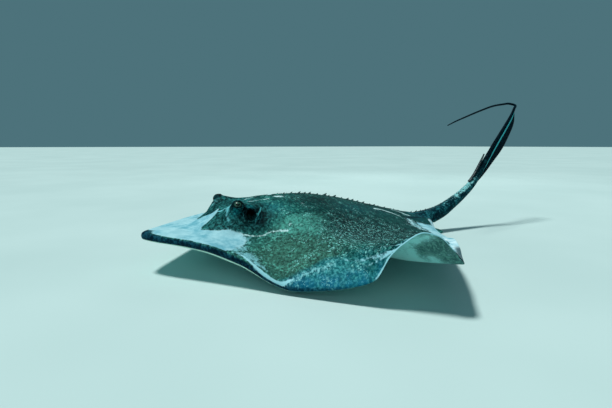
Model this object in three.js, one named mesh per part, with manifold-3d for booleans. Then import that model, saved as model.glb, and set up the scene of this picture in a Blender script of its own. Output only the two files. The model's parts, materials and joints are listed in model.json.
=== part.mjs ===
// Southern stingray on a display stand. Millimetres, +Z up.
// The animal's own stations: u runs back from the snout tip, v to its left, z up from the sea bed.
// Row frame: X = v, Y = u (snout towards -Y), Z up from the foot of the stand.
import * as THREE from 'three';
import { mergeVertices } from 'three/addons/utils/BufferGeometryUtils.js';
import Module from 'manifold-3d';

const wasm = await Module();
wasm.setup();

// ---------------------------------------------------------------- driving sizes
const LIFT = 4;                 // sea bed level above the foot of the stand
const GAP = 0.3;                // parting gap between neighbouring solids
const DISC_LENGTH = 840;        // snout tip to the back of the disc
const LEAD_SPREAD = 1.223;      // leading margin: half width = LEAD_SPREAD * sqrt(u*u + LEAD_BLUNT*u)
const LEAD_BLUNT = 32;
const TRAIL_HALF = 495;         // trailing margin
const TRAIL_START = 405;
const TRAIL_BOW = 0.86;
const TIP_ROUND = 60;           // rounding of the wing tip
const RIM_FRONT = 8.0;          // half thickness of the rim
const RIM_THIN = 1.6;
const FIN_TOP = 14;             // fin thickness above and below the reference sheet, well inboard
const FIN_BOTTOM = 14;
const BELLY = 30;
const FIN_TAPER = 110;
const SHEET_FRONT = 77;         // height of the reference sheet at the snout, and its fall per mm
const SHEET_FALL = 0.0425;

// heights of the disc margin above the sea bed, [station u, height]
const MARGIN_LEFT = [[0, 76], [30, 74], [60, 73], [95, 70], [146, 51], [192, 17], [212, 9.5], [247, 16], [292, 33], [309, 47],
  [324, 90], [336, 111], [357, 132], [368, 129], [387, 107], [402, 91], [425, 79], [448, 79], [480, 83], [540, 78], [632, 52],
  [690, 38], [740, 26], [790, 19], [840, 27]];
const MARGIN_RIGHT = [[0, 76], [30, 74], [60, 73], [110, 71], [158, 68], [200, 64], [250, 52], [310, 41], [360, 45], [400, 56],
  [450, 66], [520, 68], [600, 56], [690, 38], [740, 28], [790, 20], [840, 27]];

// eyes, spiracles
const EYE = { u: 191, v: 65.5, z: 134, r: 13 };
// raised orbits, running back as a low brow: [station u, rise]
const ORBIT_RISE = [[155, 0], [166, 7], [177, 15], [190, 19], [204, 14.5], [222, 9.5], [243, 4], [275, 0]];
const ORBIT = { v: 61, wide: 20 };
const SPIRACLE = { u: 221, v: 84, z: 119, ru: 13, rv: 17, rz: 17, lean: 0.62 };

// tail: [u, v, z, half width, half height] along its middle
const TAIL = [[700, 0, 47, 27, 20], [760, 0, 43.5, 27, 22], [800, 0, 43.5, 26, 23], [842, 0, 48, 24, 22.5], [887, 0, 59.5, 21, 20.5],
  [936, 0, 82, 17.5, 17.5], [985, 0, 109, 14.5, 15], [1034, 0, 145, 11.5, 12], [1083, -1, 204, 9, 9.5],
  [1133, -3, 266, 7, 7.5], [1190, -8, 327, 5.8, 6.2], [1238, -18, 371, 4.8, 5.2], [1264, -27, 395, 4.2, 4.6],
  [1284, -38, 408, 3.9, 4.2], [1266, -49, 414, 3.7, 3.9], [1228, -48, 410, 3.5, 3.6], [1160, -35, 400, 3.2, 3.2],
  [1061, -10, 378, 2.9, 2.9], [961, 15, 353, 2.5, 2.5], [901, 29, 337, 2.1, 2.1], [858, 39, 324, 1.4, 1.4]];
const TAIL_SIDES = 10;
// lengths of the tail, between row numbers of the table above, and the rings in each
const TAIL_LENGTHS = { tail_base: [0, 6, 8], tail_mid: [6, 9, 6], tail_upper: [9, 13, 9], tail_whip: [13, 20, 14] };

// fold of skin under the tail, in row numbers of the tail
const FOLD = { from: 7.1, to: 11.6, depth: 34, half: 1.1, rings: 14 };

// serrated spine on the back of the tail
const SPINE = { from: 6.8, to: 8.35, half: 3.3, thick: 1.5, teeth: 9, lift: 1.6, rise: 11 };

// pelvic fins
const PELVIC = { u: 774, v: 47, z: 20, ru: 58, rv: 36, rz: 6.5, splay: 0.3, droop: -0.07 };

// row of thorns along the back, running on to the root of the tail
const THORN = { from: 318, to: 712, count: 22, high: 6.5, long: 13, wide: 6, sunk: 4, tailFrom: 0.5, tailTo: 5.6, tailCount: 11 };

// mouth and nostrils on the underside
const MOUTH = { u: 152, ru: 5, rv: 33, rz: 7 };
const NOSTRIL = { u: 132, v: 27, ru: 6, rv: 9, rz: 6 };

// parting lines seen from above
const HEAD_END = 262, TRUNK_END = 738, TAIL_ROOT = 29, PELVIC_SIDE = 108;

// display stand
const BASE = { u: 425, long: 330, wide: 240, thick: 10, corner: 14 };
const ROD_R = 7, ROD_FRONT_U = 315, ROD_REAR_U = 535;

// ---------------------------------------------------------------- small helpers
const clamp = (x, a, b) => Math.min(Math.max(x, a), b);
const S = (a, b, x) => { const t = clamp((x - a) / (b - a), 0, 1); return t * t * (3 - 2 * t); };
const smin = (a, b, k) => { const h = Math.max(k - Math.abs(a - b), 0) / k; return Math.min(a, b) - h * h * k / 4; };

// smooth curve through stations, without overshoot
function through(rows) {
  const n = rows.length, d = [], m = [];
  for (let i = 0; i < n - 1; i++) d.push((rows[i + 1][1] - rows[i][1]) / (rows[i + 1][0] - rows[i][0]));
  for (let i = 0; i < n; i++) {
    if (i === 0 || i === n - 1) { m.push(0); continue; }
    if (d[i - 1] * d[i] <= 0) { m.push(0); continue; }
    const h0 = rows[i][0] - rows[i - 1][0], h1 = rows[i + 1][0] - rows[i][0];
    const w0 = 2 * h1 + h0, w1 = h1 + 2 * h0;
    m.push((w0 + w1) / (w0 / d[i - 1] + w1 / d[i]));
  }
  return (x) => {
    const q = clamp(x, rows[0][0], rows[n - 1][0]);
    let i = 0; while (i < n - 2 && q > rows[i + 1][0]) i++;
    const h = rows[i + 1][0] - rows[i][0], t = (q - rows[i][0]) / h;
    const t2 = t * t, t3 = t2 * t;
    return (2 * t3 - 3 * t2 + 1) * rows[i][1] + (t3 - 2 * t2 + t) * h * m[i] + (3 * t2 - 2 * t3) * rows[i + 1][1] + (t3 - t2) * h * m[i + 1];
  };
}
const marginLeft = through(MARGIN_LEFT);
const marginRight = through(MARGIN_RIGHT);
const orbitRise = through(ORBIT_RISE);

// ---------------------------------------------------------------- disc
function halfWidth(u) {
  const q = Math.max(u, 0);
  const lead = LEAD_SPREAD * Math.sqrt(q * q + LEAD_BLUNT * q);
  const t = clamp((q - TRAIL_START) / (DISC_LENGTH - TRAIL_START), -1, 1);
  return smin(lead, TRAIL_HALF * Math.pow(Math.abs(1 - t), TRAIL_BOW), TIP_ROUND);
}
const rimLean = (u) => 1 / Math.hypot(1, (halfWidth(u + 0.05) - halfWidth(Math.max(u - 0.05, 0.01))) / (u < 0.06 ? u + 0.04 : 0.1));
const rimHalf = (u) => RIM_FRONT - (RIM_FRONT - RIM_THIN) * S(200, 330, u);
const sheet = (u) => SHEET_FRONT - SHEET_FALL * u;
const backHeight = (u) => 15 + 52 * S(95, 205, u) + 18 * S(190, 340, u) - 60 * S(360, 810, u);
const domeWidth = (u) => 55 + 45 * S(100, 200, u) + 60 * S(215, 340, u) - 10 * S(380, 450, u) - 106 * S(470, 790, u);
const domePower = (u) => 4.6 - 2.4 * S(215, 330, u);

function discAt(u, v) {
  const vm = halfWidth(u), a = Math.abs(v), rho = clamp(a / Math.max(vm, 1e-6), 0, 1);
  const lean = rimLean(u), d = Math.max(vm - a, 0) * lean, e = rimHalf(u);
  const zm = v >= 0 ? marginLeft(u) : marginRight(u);
  const z0 = sheet(u);
  const mid = z0 + (zm - z0) * Math.pow(rho, 2.2 + 2.0 * S(230, 340, u));
  const round = Math.sqrt(clamp(1 - (1 - Math.min(d / e, 1)) ** 2, 0, 1));
  const k = 1 - Math.exp(-d / FIN_TAPER);
  const dome = Math.exp(-Math.pow(a / domeWidth(u), domePower(u)));
  const top = round * (e + (FIN_TOP - e) * k + Math.max(backHeight(u) - FIN_TOP, 0) * dome * S(0, 60, u));
  const low = round * (e + (FIN_BOTTOM - e) * k + (BELLY - FIN_BOTTOM) * Math.exp(-Math.pow(a / 190, 4)) * S(40, 200, u) * (1 - S(600, 830, u)));
  const orbit = orbitRise(u) * Math.exp(-(((a - ORBIT.v) / ORBIT.wide) ** 2));
  return { top: mid + top + orbit, low: mid - low, mid };
}

const STATIONS = [1.5, 7, 18, 38, 66, 96, 122, 142, 156, 168, 179, 190, 204, 222, 245, 272, 292, 308, 324, 341, 359, 379, 401, 432, 474, 526, 582, 640, 695, 745, 790, 822, 836];
const ACROSS = [0, 0.08, 0.16, 0.24, 0.32, 0.41, 0.51, 0.63, 0.76, 0.89];

function toGeometry(points, faces) {
  const g = new THREE.BufferGeometry();
  const p = new Float32Array(points.length * 3);
  points.forEach((q, i) => { p[3 * i] = q[0]; p[3 * i + 1] = q[1]; p[3 * i + 2] = q[2]; });
  g.setAttribute('position', new THREE.BufferAttribute(p, 3));
  g.setIndex(faces.flat());
  return g;
}

function discGeometry() {
  const P = [], F = [];
  const put = (u, v, z) => { P.push([v, u, z + LIFT]); return P.length - 1; };
  const rows = STATIONS.map((u) => {
    const vm = halfWidth(u), e = rimHalf(u) / rimLean(u);
    const rim = Math.min(1.15 * e, 0.35 * vm);
    const half = [...ACROSS.map((f) => f * (vm - rim)), vm - rim, vm - 0.3 * rim, vm];
    const vs = [...half.slice(1).reverse().map((x) => -x), ...half];
    const top = [], low = [];
    vs.forEach((v, j) => {
      const s = discAt(u, v);
      if (j === 0 || j === vs.length - 1) { const k = put(u, v, s.mid); top.push(k); low.push(k); }
      else { top.push(put(u, v, s.top)); low.push(put(u, v, s.low)); }
    });
    return { top, low };
  });
  const tri = (a, b, c) => { if (a !== b && b !== c && a !== c) F.push([a, b, c]); };
  const n = rows[0].top.length;
  for (let i = 0; i < rows.length - 1; i++) {
    const A = rows[i], B = rows[i + 1];
    for (let j = 0; j < n - 1; j++) {
      tri(A.top[j], A.top[j + 1], B.top[j + 1]); tri(A.top[j], B.top[j + 1], B.top[j]);
      tri(A.low[j], B.low[j + 1], A.low[j + 1]); tri(A.low[j], B.low[j], B.low[j + 1]);
    }
  }
  const nose = put(0, 0, discAt(0.01, 0).mid), rear = put(DISC_LENGTH, 0, discAt(DISC_LENGTH, 0).mid);
  const A = rows[0], B = rows[rows.length - 1];
  for (let j = 0; j < n - 1; j++) {
    tri(nose, A.top[j + 1], A.top[j]); tri(nose, A.low[j], A.low[j + 1]);
    tri(rear, B.top[j], B.top[j + 1]); tri(rear, B.low[j + 1], B.low[j]);
  }
  return toGeometry(P, F);
}

// ---------------------------------------------------------------- solids
function toManifold(geometry) {
  let g = geometry.clone();
  g.deleteAttribute('normal'); g.deleteAttribute('uv');
  g = mergeVertices(g, 1e-4);
  const mesh = new wasm.Mesh({ numProp: 3, vertProperties: new Float32Array(g.attributes.position.array), triVerts: new Uint32Array(g.index.array) });
  mesh.merge();
  const m = new wasm.Manifold(mesh);
  return m.volume() < 0 ? toManifold(flip(g)) : m;
}
function flip(g) {
  const q = g.clone(), idx = q.index.array;
  for (let i = 0; i < idx.length; i += 3) { const t = idx[i]; idx[i] = idx[i + 1]; idx[i + 1] = t; }
  return q;
}
function fromManifold(m) {
  const mesh = m.getMesh();
  const g = new THREE.BufferGeometry();
  g.setAttribute('position', new THREE.BufferAttribute(new Float32Array(mesh.vertProperties), 3));
  g.setIndex(new THREE.BufferAttribute(new Uint32Array(mesh.triVerts), 1));
  return g;
}
// keep the largest closed body of a cut
function main(m) {
  const parts = m.decompose();
  let best = parts[0];
  for (const p of parts) if (p.volume() > best.volume()) best = p;
  return best;
}
// upright prism over a plan outline given as [v, u]
function prism(outline, z0 = -60, z1 = 620) {
  const s = new THREE.Shape(outline.map(([x, y]) => new THREE.Vector2(x, y)));
  const g = new THREE.ExtrudeGeometry(s, { depth: z1 - z0, bevelEnabled: false });
  g.translate(0, 0, z0);
  return toManifold(g);
}
function ellipsoid(c, r, turn = [0, 0, 0], seg = [14, 9]) {
  const g = new THREE.SphereGeometry(1, seg[0], seg[1]);
  const m = new THREE.Matrix4().compose(new THREE.Vector3(...c), new THREE.Quaternion().setFromEuler(new THREE.Euler(...turn)), new THREE.Vector3(...r));
  g.applyMatrix4(m);
  return toManifold(g);
}


// tail: a tube of flesh swept along its middle line, carried round the bend without twisting
const LAST = TAIL.length - 1;
const tailLine = new THREE.CatmullRomCurve3(TAIL.map((r) => new THREE.Vector3(r[1], r[0], r[2] + LIFT)), false, 'centripetal');
const FINE = 40;                // steps between table rows
const RUN = [];
{
  let side = new THREE.Vector3(1, 0, 0);
  for (let i = 0; i <= LAST * FINE; i++) {
    const t = i / (LAST * FINE), f = t * LAST, k = Math.min(Math.floor(f), LAST - 1), w = f - k;
    const point = tailLine.getPoint(t), tangent = tailLine.getTangent(clamp(t, 1e-4, 1 - 1e-4)).normalize();
    side = side.clone().addScaledVector(tangent, -side.dot(tangent)).normalize();
    const back = new THREE.Vector3().crossVectors(side, tangent).normalize();
    RUN.push({ point, tangent, side, back, a: TAIL[k][3] + (TAIL[k + 1][3] - TAIL[k][3]) * w, b: TAIL[k][4] + (TAIL[k + 1][4] - TAIL[k][4]) * w });
  }
}
const runAt = (row) => RUN[Math.round(clamp(row / LAST, 0, 1) * LAST * FINE)];
const slide = (f, by) => ({ ...f, point: f.point.clone().addScaledVector(f.tangent, by) });
function sweep(frames, ring) {
  const P = [], F = [];
  const rows = frames.map((f, i) => ring(f, i).map((q) => { P.push([q.x, q.y, q.z]); return P.length - 1; }));
  const n = rows[0].length;
  for (let i = 0; i < rows.length - 1; i++) for (let j = 0; j < n; j++) {
    const k = (j + 1) % n;
    F.push([rows[i][j], rows[i][k], rows[i + 1][k]], [rows[i][j], rows[i + 1][k], rows[i + 1][j]]);
  }
  for (const [row, out] of [[rows[0], false], [rows[rows.length - 1], true]]) {
    const c = [0, 1, 2].map((q) => row.reduce((sum, k) => sum + P[k][q], 0) / n);
    P.push(c);
    for (let j = 0; j < n; j++) { const k = (j + 1) % n; F.push(out ? [row[j], row[k], P.length - 1] : [row[k], row[j], P.length - 1]); }
  }
  return toManifold(toGeometry(P, F));
}
function tailLength(from, to, rings, more = 0, endGap = GAP / 2) {
  const frames = [];
  for (let i = 0; i <= rings; i++) {
    let f = runAt(from + (to - from) * i / rings);
    if (i === 0 && from > 0) f = slide(f, endGap);
    if (i === rings && to < LAST) f = slide(f, -endGap);
    frames.push(f);
  }
  return sweep(frames, (f) => {
    const out = [];
    for (let j = 0; j < TAIL_SIDES; j++) {
      const q = 2 * Math.PI * (j + 0.5) / TAIL_SIDES;
      out.push(f.point.clone().addScaledVector(f.side, Math.cos(q) * (f.a + more)).addScaledVector(f.back, Math.sin(q) * (f.b + more)));
    }
    return out;
  });
}
const tail = {};
for (const [name, [from, to, rings]] of Object.entries(TAIL_LENGTHS)) tail[name] = tailLength(from, to, rings);
const tailGrown = tailLength(6, 13, 15, GAP, 0);

// fold of skin: a blade hanging from the under side of the tail
function foldSolid() {
  const frames = [];
  for (let i = 0; i <= FOLD.rings; i++) frames.push(runAt(FOLD.from + (FOLD.to - FOLD.from) * i / FOLD.rings));
  return sweep(frames, (f, i) => {
    const q = i / FOLD.rings, d = 1.2 + FOLD.depth * Math.pow(Math.sin(Math.PI * Math.pow(q, 1.15)), 0.8);
    const at = (x, y) => f.point.clone().addScaledVector(f.side, x).addScaledVector(f.back, -y);
    return [at(FOLD.half * 1.5, f.b * 0.5), at(-FOLD.half * 1.5, f.b * 0.5), at(-FOLD.half, f.b + d * 0.6), at(-FOLD.half * 0.5, f.b + d), at(FOLD.half * 0.5, f.b + d), at(FOLD.half, f.b + d * 0.6)];
  });
}

// spine: flat tapering blade with saw teeth down both edges
function spineSolid() {
  const frames = [], n = SPINE.teeth * 2;
  for (let i = 0; i <= n; i++) frames.push(runAt(SPINE.from + (SPINE.to - SPINE.from) * i / n));
  return sweep(frames, (f, i) => {
    const q = i / n, w = (i === n ? 0.35 : SPINE.half * (1 - 0.8 * q ** 2.2) * (i % 2 ? 1 : 0.74)), t = SPINE.thick * (1 - 0.55 * q);
    const h = f.b + SPINE.lift + SPINE.rise * q * q;
    const at = (x, y) => f.point.clone().addScaledVector(f.side, x).addScaledVector(f.back, y);
    return [at(w, h), at(0, h + t), at(-w, h), at(0, h - t)];
  });
}

// ---------------------------------------------------------------- whole body
let body = toManifold(discGeometry());
for (const s of [1, -1]) {
  body = body.add(ellipsoid([s * PELVIC.v, PELVIC.u, PELVIC.z + LIFT], [PELVIC.rv, PELVIC.ru, PELVIC.rz], [PELVIC.droop, s * 0.16, -s * PELVIC.splay], [14, 6]));
}
body = body.add(tail.tail_base);

// thorns
function thorn(at, along, up, size) {
  const side = new THREE.Vector3().crossVectors(along, up).normalize();
  const p = (x, y, z) => { const q = at.clone().addScaledVector(side, x).addScaledVector(along, y).addScaledVector(up, z); return [q.x, q.y, q.z]; };
  const q = THORN.long / 2 * size, w = THORN.wide / 2 * size;
  return toManifold(toGeometry([p(0, -q, -THORN.sunk), p(w, 0, -THORN.sunk), p(0, q, -THORN.sunk), p(-w, 0, -THORN.sunk), p(0, q * 0.9, THORN.high * size)],
    [[0, 1, 4], [1, 2, 4], [2, 3, 4], [3, 0, 4], [0, 3, 2], [0, 2, 1]]));
}
const grown = (i) => 0.8 + 0.25 * ((i * 7) % 5) / 4;
for (let i = 0; i < THORN.count; i++) {
  const u = THORN.from + (THORN.to - THORN.from) * i / (THORN.count - 1);
  const z0 = discAt(u - 4, 0).top, z1 = discAt(u + 4, 0).top;
  const along = new THREE.Vector3(0, 8, z1 - z0).normalize(), up = new THREE.Vector3(0, -along.z, along.y);
  body = body.add(thorn(new THREE.Vector3(0, u, (z0 + z1) / 2 + LIFT), along, up, grown(i)));
}
for (let i = 0; i < THORN.tailCount; i++) {
  const f = runAt(THORN.tailFrom + (THORN.tailTo - THORN.tailFrom) * i / (THORN.tailCount - 1));
  const at = f.point.clone().addScaledVector(f.back, f.b);
  if (at.y < DISC_LENGTH - 10) at.z = Math.max(at.z, discAt(at.y, 0).top + LIFT);
  body = body.add(thorn(at, f.tangent, f.back, grown(i + 3) * (0.95 - 0.03 * i)));
}
// openings
for (const s of [1, -1]) {
  body = body.subtract(ellipsoid([s * SPIRACLE.v, SPIRACLE.u, SPIRACLE.z + LIFT], [SPIRACLE.rv, SPIRACLE.ru, SPIRACLE.rz], [-SPIRACLE.lean, 0, 0], [12, 8]));
  body = body.subtract(ellipsoid([s * EYE.v, EYE.u, EYE.z + LIFT], [EYE.r + GAP, EYE.r + GAP, EYE.r + GAP], [0, 0, 0], [14, 10]));
  body = body.subtract(ellipsoid([s * NOSTRIL.v, NOSTRIL.u, discAt(NOSTRIL.u, NOSTRIL.v).low + LIFT], [NOSTRIL.rv, NOSTRIL.ru, NOSTRIL.rz], [0, 0, s * 0.5], [8, 6]));
}
body = body.subtract(ellipsoid([0, MOUTH.u, discAt(MOUTH.u, 0).low + LIFT], [MOUTH.rv, MOUTH.ru, MOUTH.rz], [0, 0, 0], [12, 6]));

// ---------------------------------------------------------------- parting, seen from above
const g = GAP * 0.54;
const headSide = (u) => 34 + 84 * S(-40, HEAD_END, u);
const trunkSide = (u) => 118 + 32 * S(HEAD_END, 420, u) - 90 * S(480, TRUNK_END, u);
function strip(side, u0, u1, n, grow) {
  const L = [], R = [];
  for (let i = 0; i <= n; i++) { const u = u0 + (u1 - u0) * i / n; L.push([side(u) + grow, u]); R.push([-side(u) - grow, u]); }
  return [...L, ...R.reverse()];
}
const headZone = prism(strip(headSide, -30, HEAD_END - g, 6, -g));
const trunkZone = prism(strip(trunkSide, HEAD_END + g, TRUNK_END - g, 8, -g));
const middle = [headSide, trunkSide];
const wide = [];
for (let i = 0; i <= 6; i++) { const u = -30 + (HEAD_END + 30) * i / 6; wide.push([middle[0](u) + g, u]); }
for (let i = 1; i <= 8; i++) { const u = HEAD_END + (TRUNK_END - HEAD_END) * i / 8; wide.push([middle[1](u) + g, i === 8 ? u - g : u]); }
wide.push([PELVIC_SIDE + g, TRUNK_END - g], [PELVIC_SIDE + g, 1000]);
const middleZone = prism([...wide, ...wide.map(([x, y]) => [-x, y]).reverse()]);
const fins = body.subtract(middleZone);
const pick = (m, s, x0, x1, y0, y1) => main(m.intersect(prism([[s * x0, y0], [s * x1, y0], [s * x1, y1], [s * x0, y1]])));

// ---------------------------------------------------------------- stand
function plate() {
  const w = BASE.wide / 2, l = BASE.long / 2, r = BASE.corner;
  const s = new THREE.Shape();
  s.moveTo(-w + r, -l); s.lineTo(w - r, -l); s.absarc(w - r, -l + r, r, -Math.PI / 2, 0, false);
  s.lineTo(w, l - r); s.absarc(w - r, l - r, r, 0, Math.PI / 2, false);
  s.lineTo(-w + r, l); s.absarc(-w + r, l - r, r, Math.PI / 2, Math.PI, false);
  s.lineTo(-w, -l + r); s.absarc(-w + r, -l + r, r, Math.PI, Math.PI * 1.5, false);
  const q = new THREE.ExtrudeGeometry(s, { depth: BASE.thick, bevelEnabled: false, curveSegments: 3 });
  q.translate(0, BASE.u, 0);
  return toManifold(q);
}
function rod(u) {
  const q = new THREE.CylinderGeometry(ROD_R, ROD_R, 80, 20, 1);
  q.rotateX(Math.PI / 2);
  q.translate(0, u, 40 + BASE.thick + GAP);
  const cut = toManifold(q).subtract(body.translate([0, 0, -GAP])).decompose();
  let low = cut[0];
  for (const c of cut) if (c.boundingBox().min[2] < low.boundingBox().min[2]) low = c;
  return low;
}

// ---------------------------------------------------------------- nodes
const SKIN = '#3f5a52', SKIN_DARK = '#2c4440', FIN = '#56716b', PALE = '#8fb3b5', TAIL_SKIN = '#24383a';
const material = (color, roughness = 0.55, metalness = 0) => new THREE.MeshStandardMaterial({ color, roughness, metalness });
const out = [];
out.push(['head', main(body.intersect(headZone)), material(SKIN_DARK)]);
out.push(['trunk', main(body.intersect(trunkZone)), material(SKIN)]);
for (const [side, s] of [['left', 1], ['right', -1]]) {
  out.push([`pectoral_fin_${side}`, pick(fins, s, 1, 560, -40, 1000), material(FIN)]);
  out.push([`pelvic_fin_${side}`, pick(body, s, TAIL_ROOT + g, PELVIC_SIDE - g, TRUNK_END + g, 1000), material(PALE)]);
  out.push([`eye_${side}`, ellipsoid([s * EYE.v, EYE.u, EYE.z + LIFT], [EYE.r, EYE.r, EYE.r], [0, 0, 0], [14, 10]), material('#141a1a', 0.2)]);
}
out.push(['tail_base', main(body.intersect(prism([[-TAIL_ROOT + g, TRUNK_END + g], [TAIL_ROOT - g, TRUNK_END + g], [TAIL_ROOT - g, 1100], [-TAIL_ROOT + g, 1100]]))), material(SKIN_DARK)]);
out.push(['tail_mid', tail.tail_mid, material(TAIL_SKIN)]);
out.push(['tail_upper', tail.tail_upper, material(TAIL_SKIN)]);
out.push(['tail_whip', tail.tail_whip, material('#0f1618')]);
out.push(['tail_fold', main(foldSolid().subtract(tailGrown)), material('#10191b')]);
out.push(['tail_spine', main(spineSolid().subtract(tailGrown)), material('#3b3a33', 0.5)]);
out.push(['stand_base', plate(), material('#3a3d40', 0.45, 0.6)]);
out.push(['stand_rod_front', rod(ROD_FRONT_U), material('#8d9296', 0.3, 0.9)]);
out.push(['stand_rod_rear', rod(ROD_REAR_U), material('#8d9296', 0.3, 0.9)]);

// bring the middle of the bounding box over the origin
const lo = [Infinity, Infinity], hi = [-Infinity, -Infinity];
for (const [, m] of out) { const b = m.boundingBox(); for (const k of [0, 1]) { lo[k] = Math.min(lo[k], b.min[k]); hi[k] = Math.max(hi[k], b.max[k]); } }
const shift = [-(lo[0] + hi[0]) / 2, -(lo[1] + hi[1]) / 2, 0];
const model = new THREE.Group();
model.name = 'stingray';
for (const [name, m, mat] of out) {
  const mesh = new THREE.Mesh(fromManifold(m.translate(shift)), mat);
  mesh.name = name;
  model.add(mesh);
}
export default model;
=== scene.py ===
import json, math
import bpy
import numpy as np
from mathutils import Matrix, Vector

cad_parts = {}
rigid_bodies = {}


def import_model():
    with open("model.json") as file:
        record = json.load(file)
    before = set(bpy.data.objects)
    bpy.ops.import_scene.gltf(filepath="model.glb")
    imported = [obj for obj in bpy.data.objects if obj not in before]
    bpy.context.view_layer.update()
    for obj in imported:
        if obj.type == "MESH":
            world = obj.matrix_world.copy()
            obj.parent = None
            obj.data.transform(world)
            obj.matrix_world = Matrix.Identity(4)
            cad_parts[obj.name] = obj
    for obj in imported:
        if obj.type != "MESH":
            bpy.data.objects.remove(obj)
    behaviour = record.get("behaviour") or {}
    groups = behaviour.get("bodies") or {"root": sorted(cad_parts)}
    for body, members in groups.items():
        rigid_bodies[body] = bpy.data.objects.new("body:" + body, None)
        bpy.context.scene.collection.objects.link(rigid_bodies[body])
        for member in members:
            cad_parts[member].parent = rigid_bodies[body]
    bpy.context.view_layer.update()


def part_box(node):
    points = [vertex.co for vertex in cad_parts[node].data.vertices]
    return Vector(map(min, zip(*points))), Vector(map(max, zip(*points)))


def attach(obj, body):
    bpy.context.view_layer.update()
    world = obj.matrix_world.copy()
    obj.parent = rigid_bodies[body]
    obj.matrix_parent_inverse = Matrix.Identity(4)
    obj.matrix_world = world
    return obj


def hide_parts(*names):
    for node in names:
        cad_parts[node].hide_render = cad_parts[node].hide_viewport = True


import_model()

rng = np.random.default_rng(7)

# ------------------------------------------------------------------ the animal's own stations, in mm
# u runs back from the snout tip, v to the animal's left, z up from the sea bed.
rod_lo, rod_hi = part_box("stand_rod_front")
ROD_U = 315.0
X0 = (rod_lo[0] + rod_hi[0]) / 2
Y0 = (rod_lo[1] + rod_hi[1]) / 2 - ROD_U / 1000
LIFT = 4.0


def to_row(p):
    """Animal stations in mm, (n, 3) as u, v, z, to the row frame in metres."""
    p = np.asarray(p, float)
    return np.stack([p[:, 1] / 1000 + X0, p[:, 0] / 1000 + Y0, (p[:, 2] + LIFT) / 1000], 1)


def to_animal(q):
    q = np.asarray(q, float)
    return np.stack([(q[:, 1] - Y0) * 1000, (q[:, 0] - X0) * 1000, q[:, 2] * 1000 - LIFT], 1)


MARGIN_LEFT = [(0, 76), (30, 74), (60, 73), (95, 70), (146, 51), (192, 17), (212, 9.5), (247, 16), (292, 33), (309, 47),
               (324, 90), (336, 111), (357, 132), (368, 129), (387, 107), (402, 91), (425, 79), (448, 79), (480, 83), (540, 78), (632, 52),
               (690, 38), (740, 26), (790, 19), (840, 27)]
MARGIN_RIGHT = [(0, 76), (30, 74), (60, 73), (110, 71), (158, 68), (200, 64), (250, 52), (310, 41), (360, 45), (400, 56),
                (450, 66), (520, 68), (600, 56), (690, 38), (740, 28), (790, 20), (840, 27)]
ORBIT_RISE = [(155, 0), (166, 7), (177, 15), (190, 19), (204, 14.5), (222, 9.5), (243, 4), (275, 0)]
ORBIT_V, ORBIT_WIDE = 61.0, 20.0
RIM_FRONT, RIM_THIN, FIN_TOP, FIN_BOTTOM, BELLY, FIN_TAPER = 8.0, 1.6, 14.0, 14.0, 30.0, 110.0
DISC_LENGTH = 840.0
EYE_C, EYE_R = np.array([191.0, 65.5, 134.0]), 13.0
EYE_AXIS = np.array([-0.20, 0.82, 0.53]); EYE_AXIS /= np.linalg.norm(EYE_AXIS)
SPIRACLE_C, SPIRACLE_LEAN = np.array([216.0, 84.0, 115.5]), 0.80
# tail: u, v, z, half width, half height
TAIL = np.array([[700, 0, 47, 27, 20], [760, 0, 43.5, 27, 22], [800, 0, 43.5, 26, 23], [842, 0, 48, 24, 22.5], [887, 0, 59.5, 21, 20.5],
                 [936, 0, 82, 17.5, 17.5], [985, 0, 109, 14.5, 15], [1034, 0, 145, 11.5, 12], [1083, -1, 204, 9, 9.5],
                 [1133, -3, 266, 7, 7.5], [1190, -8, 327, 5.8, 6.2], [1238, -18, 371, 4.8, 5.2], [1264, -27, 395, 4.2, 4.6],
                 [1284, -38, 408, 3.9, 4.2], [1266, -49, 414, 3.7, 3.9], [1228, -48, 410, 3.5, 3.6], [1160, -35, 400, 3.2, 3.2],
                 [1061, -10, 378, 2.9, 2.9], [961, 15, 353, 2.5, 2.5], [901, 29, 337, 2.1, 2.1], [858, 39, 324, 1.4, 1.4]], float)
PELVIC = dict(u=774, v=47, z=20, ru=58, rv=36, rz=6.5, splay=0.3, droop=-0.07)


def S(a, b, x):
    t = np.clip((np.asarray(x, float) - a) / (b - a), 0, 1)
    return t * t * (3 - 2 * t)


def bump(x, c, w):
    return np.exp(-(((np.asarray(x, float) - c) / w) ** 2))


def smin(a, b, k):
    h = np.maximum(k - np.abs(a - b), 0) / k
    return np.minimum(a, b) - h * h * k / 4


def through(rows):
    """A smooth curve through stations, without overshoot."""
    X = np.array([r[0] for r in rows], float)
    Y = np.array([r[1] for r in rows], float)
    d = np.diff(Y) / np.diff(X)
    m = np.zeros(len(X))
    for i in range(1, len(X) - 1):
        if d[i - 1] * d[i] > 0:
            h0, h1 = X[i] - X[i - 1], X[i + 1] - X[i]
            w0, w1 = 2 * h1 + h0, h1 + 2 * h0
            m[i] = (w0 + w1) / (w0 / d[i - 1] + w1 / d[i])

    def f(x):
        q = np.clip(np.asarray(x, float), X[0], X[-1])
        i = np.clip(np.searchsorted(X, q, side="left") - 1, 0, len(X) - 2)
        h = X[i + 1] - X[i]
        t = (q - X[i]) / h
        t2, t3 = t * t, t * t * t
        return (2 * t3 - 3 * t2 + 1) * Y[i] + (t3 - 2 * t2 + t) * h * m[i] + (3 * t2 - 2 * t3) * Y[i + 1] + (t3 - t2) * h * m[i + 1]

    return f


margin_left, margin_right, orbit_rise = through(MARGIN_LEFT), through(MARGIN_RIGHT), through(ORBIT_RISE)


def half_width(u):
    q = np.maximum(np.asarray(u, float), 0)
    lead = 1.223 * np.sqrt(q * q + 32 * q)
    t = np.clip((q - 405) / 435, -1, 1)
    return smin(lead, 495 * np.abs(1 - t) ** 0.86, 60)


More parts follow.
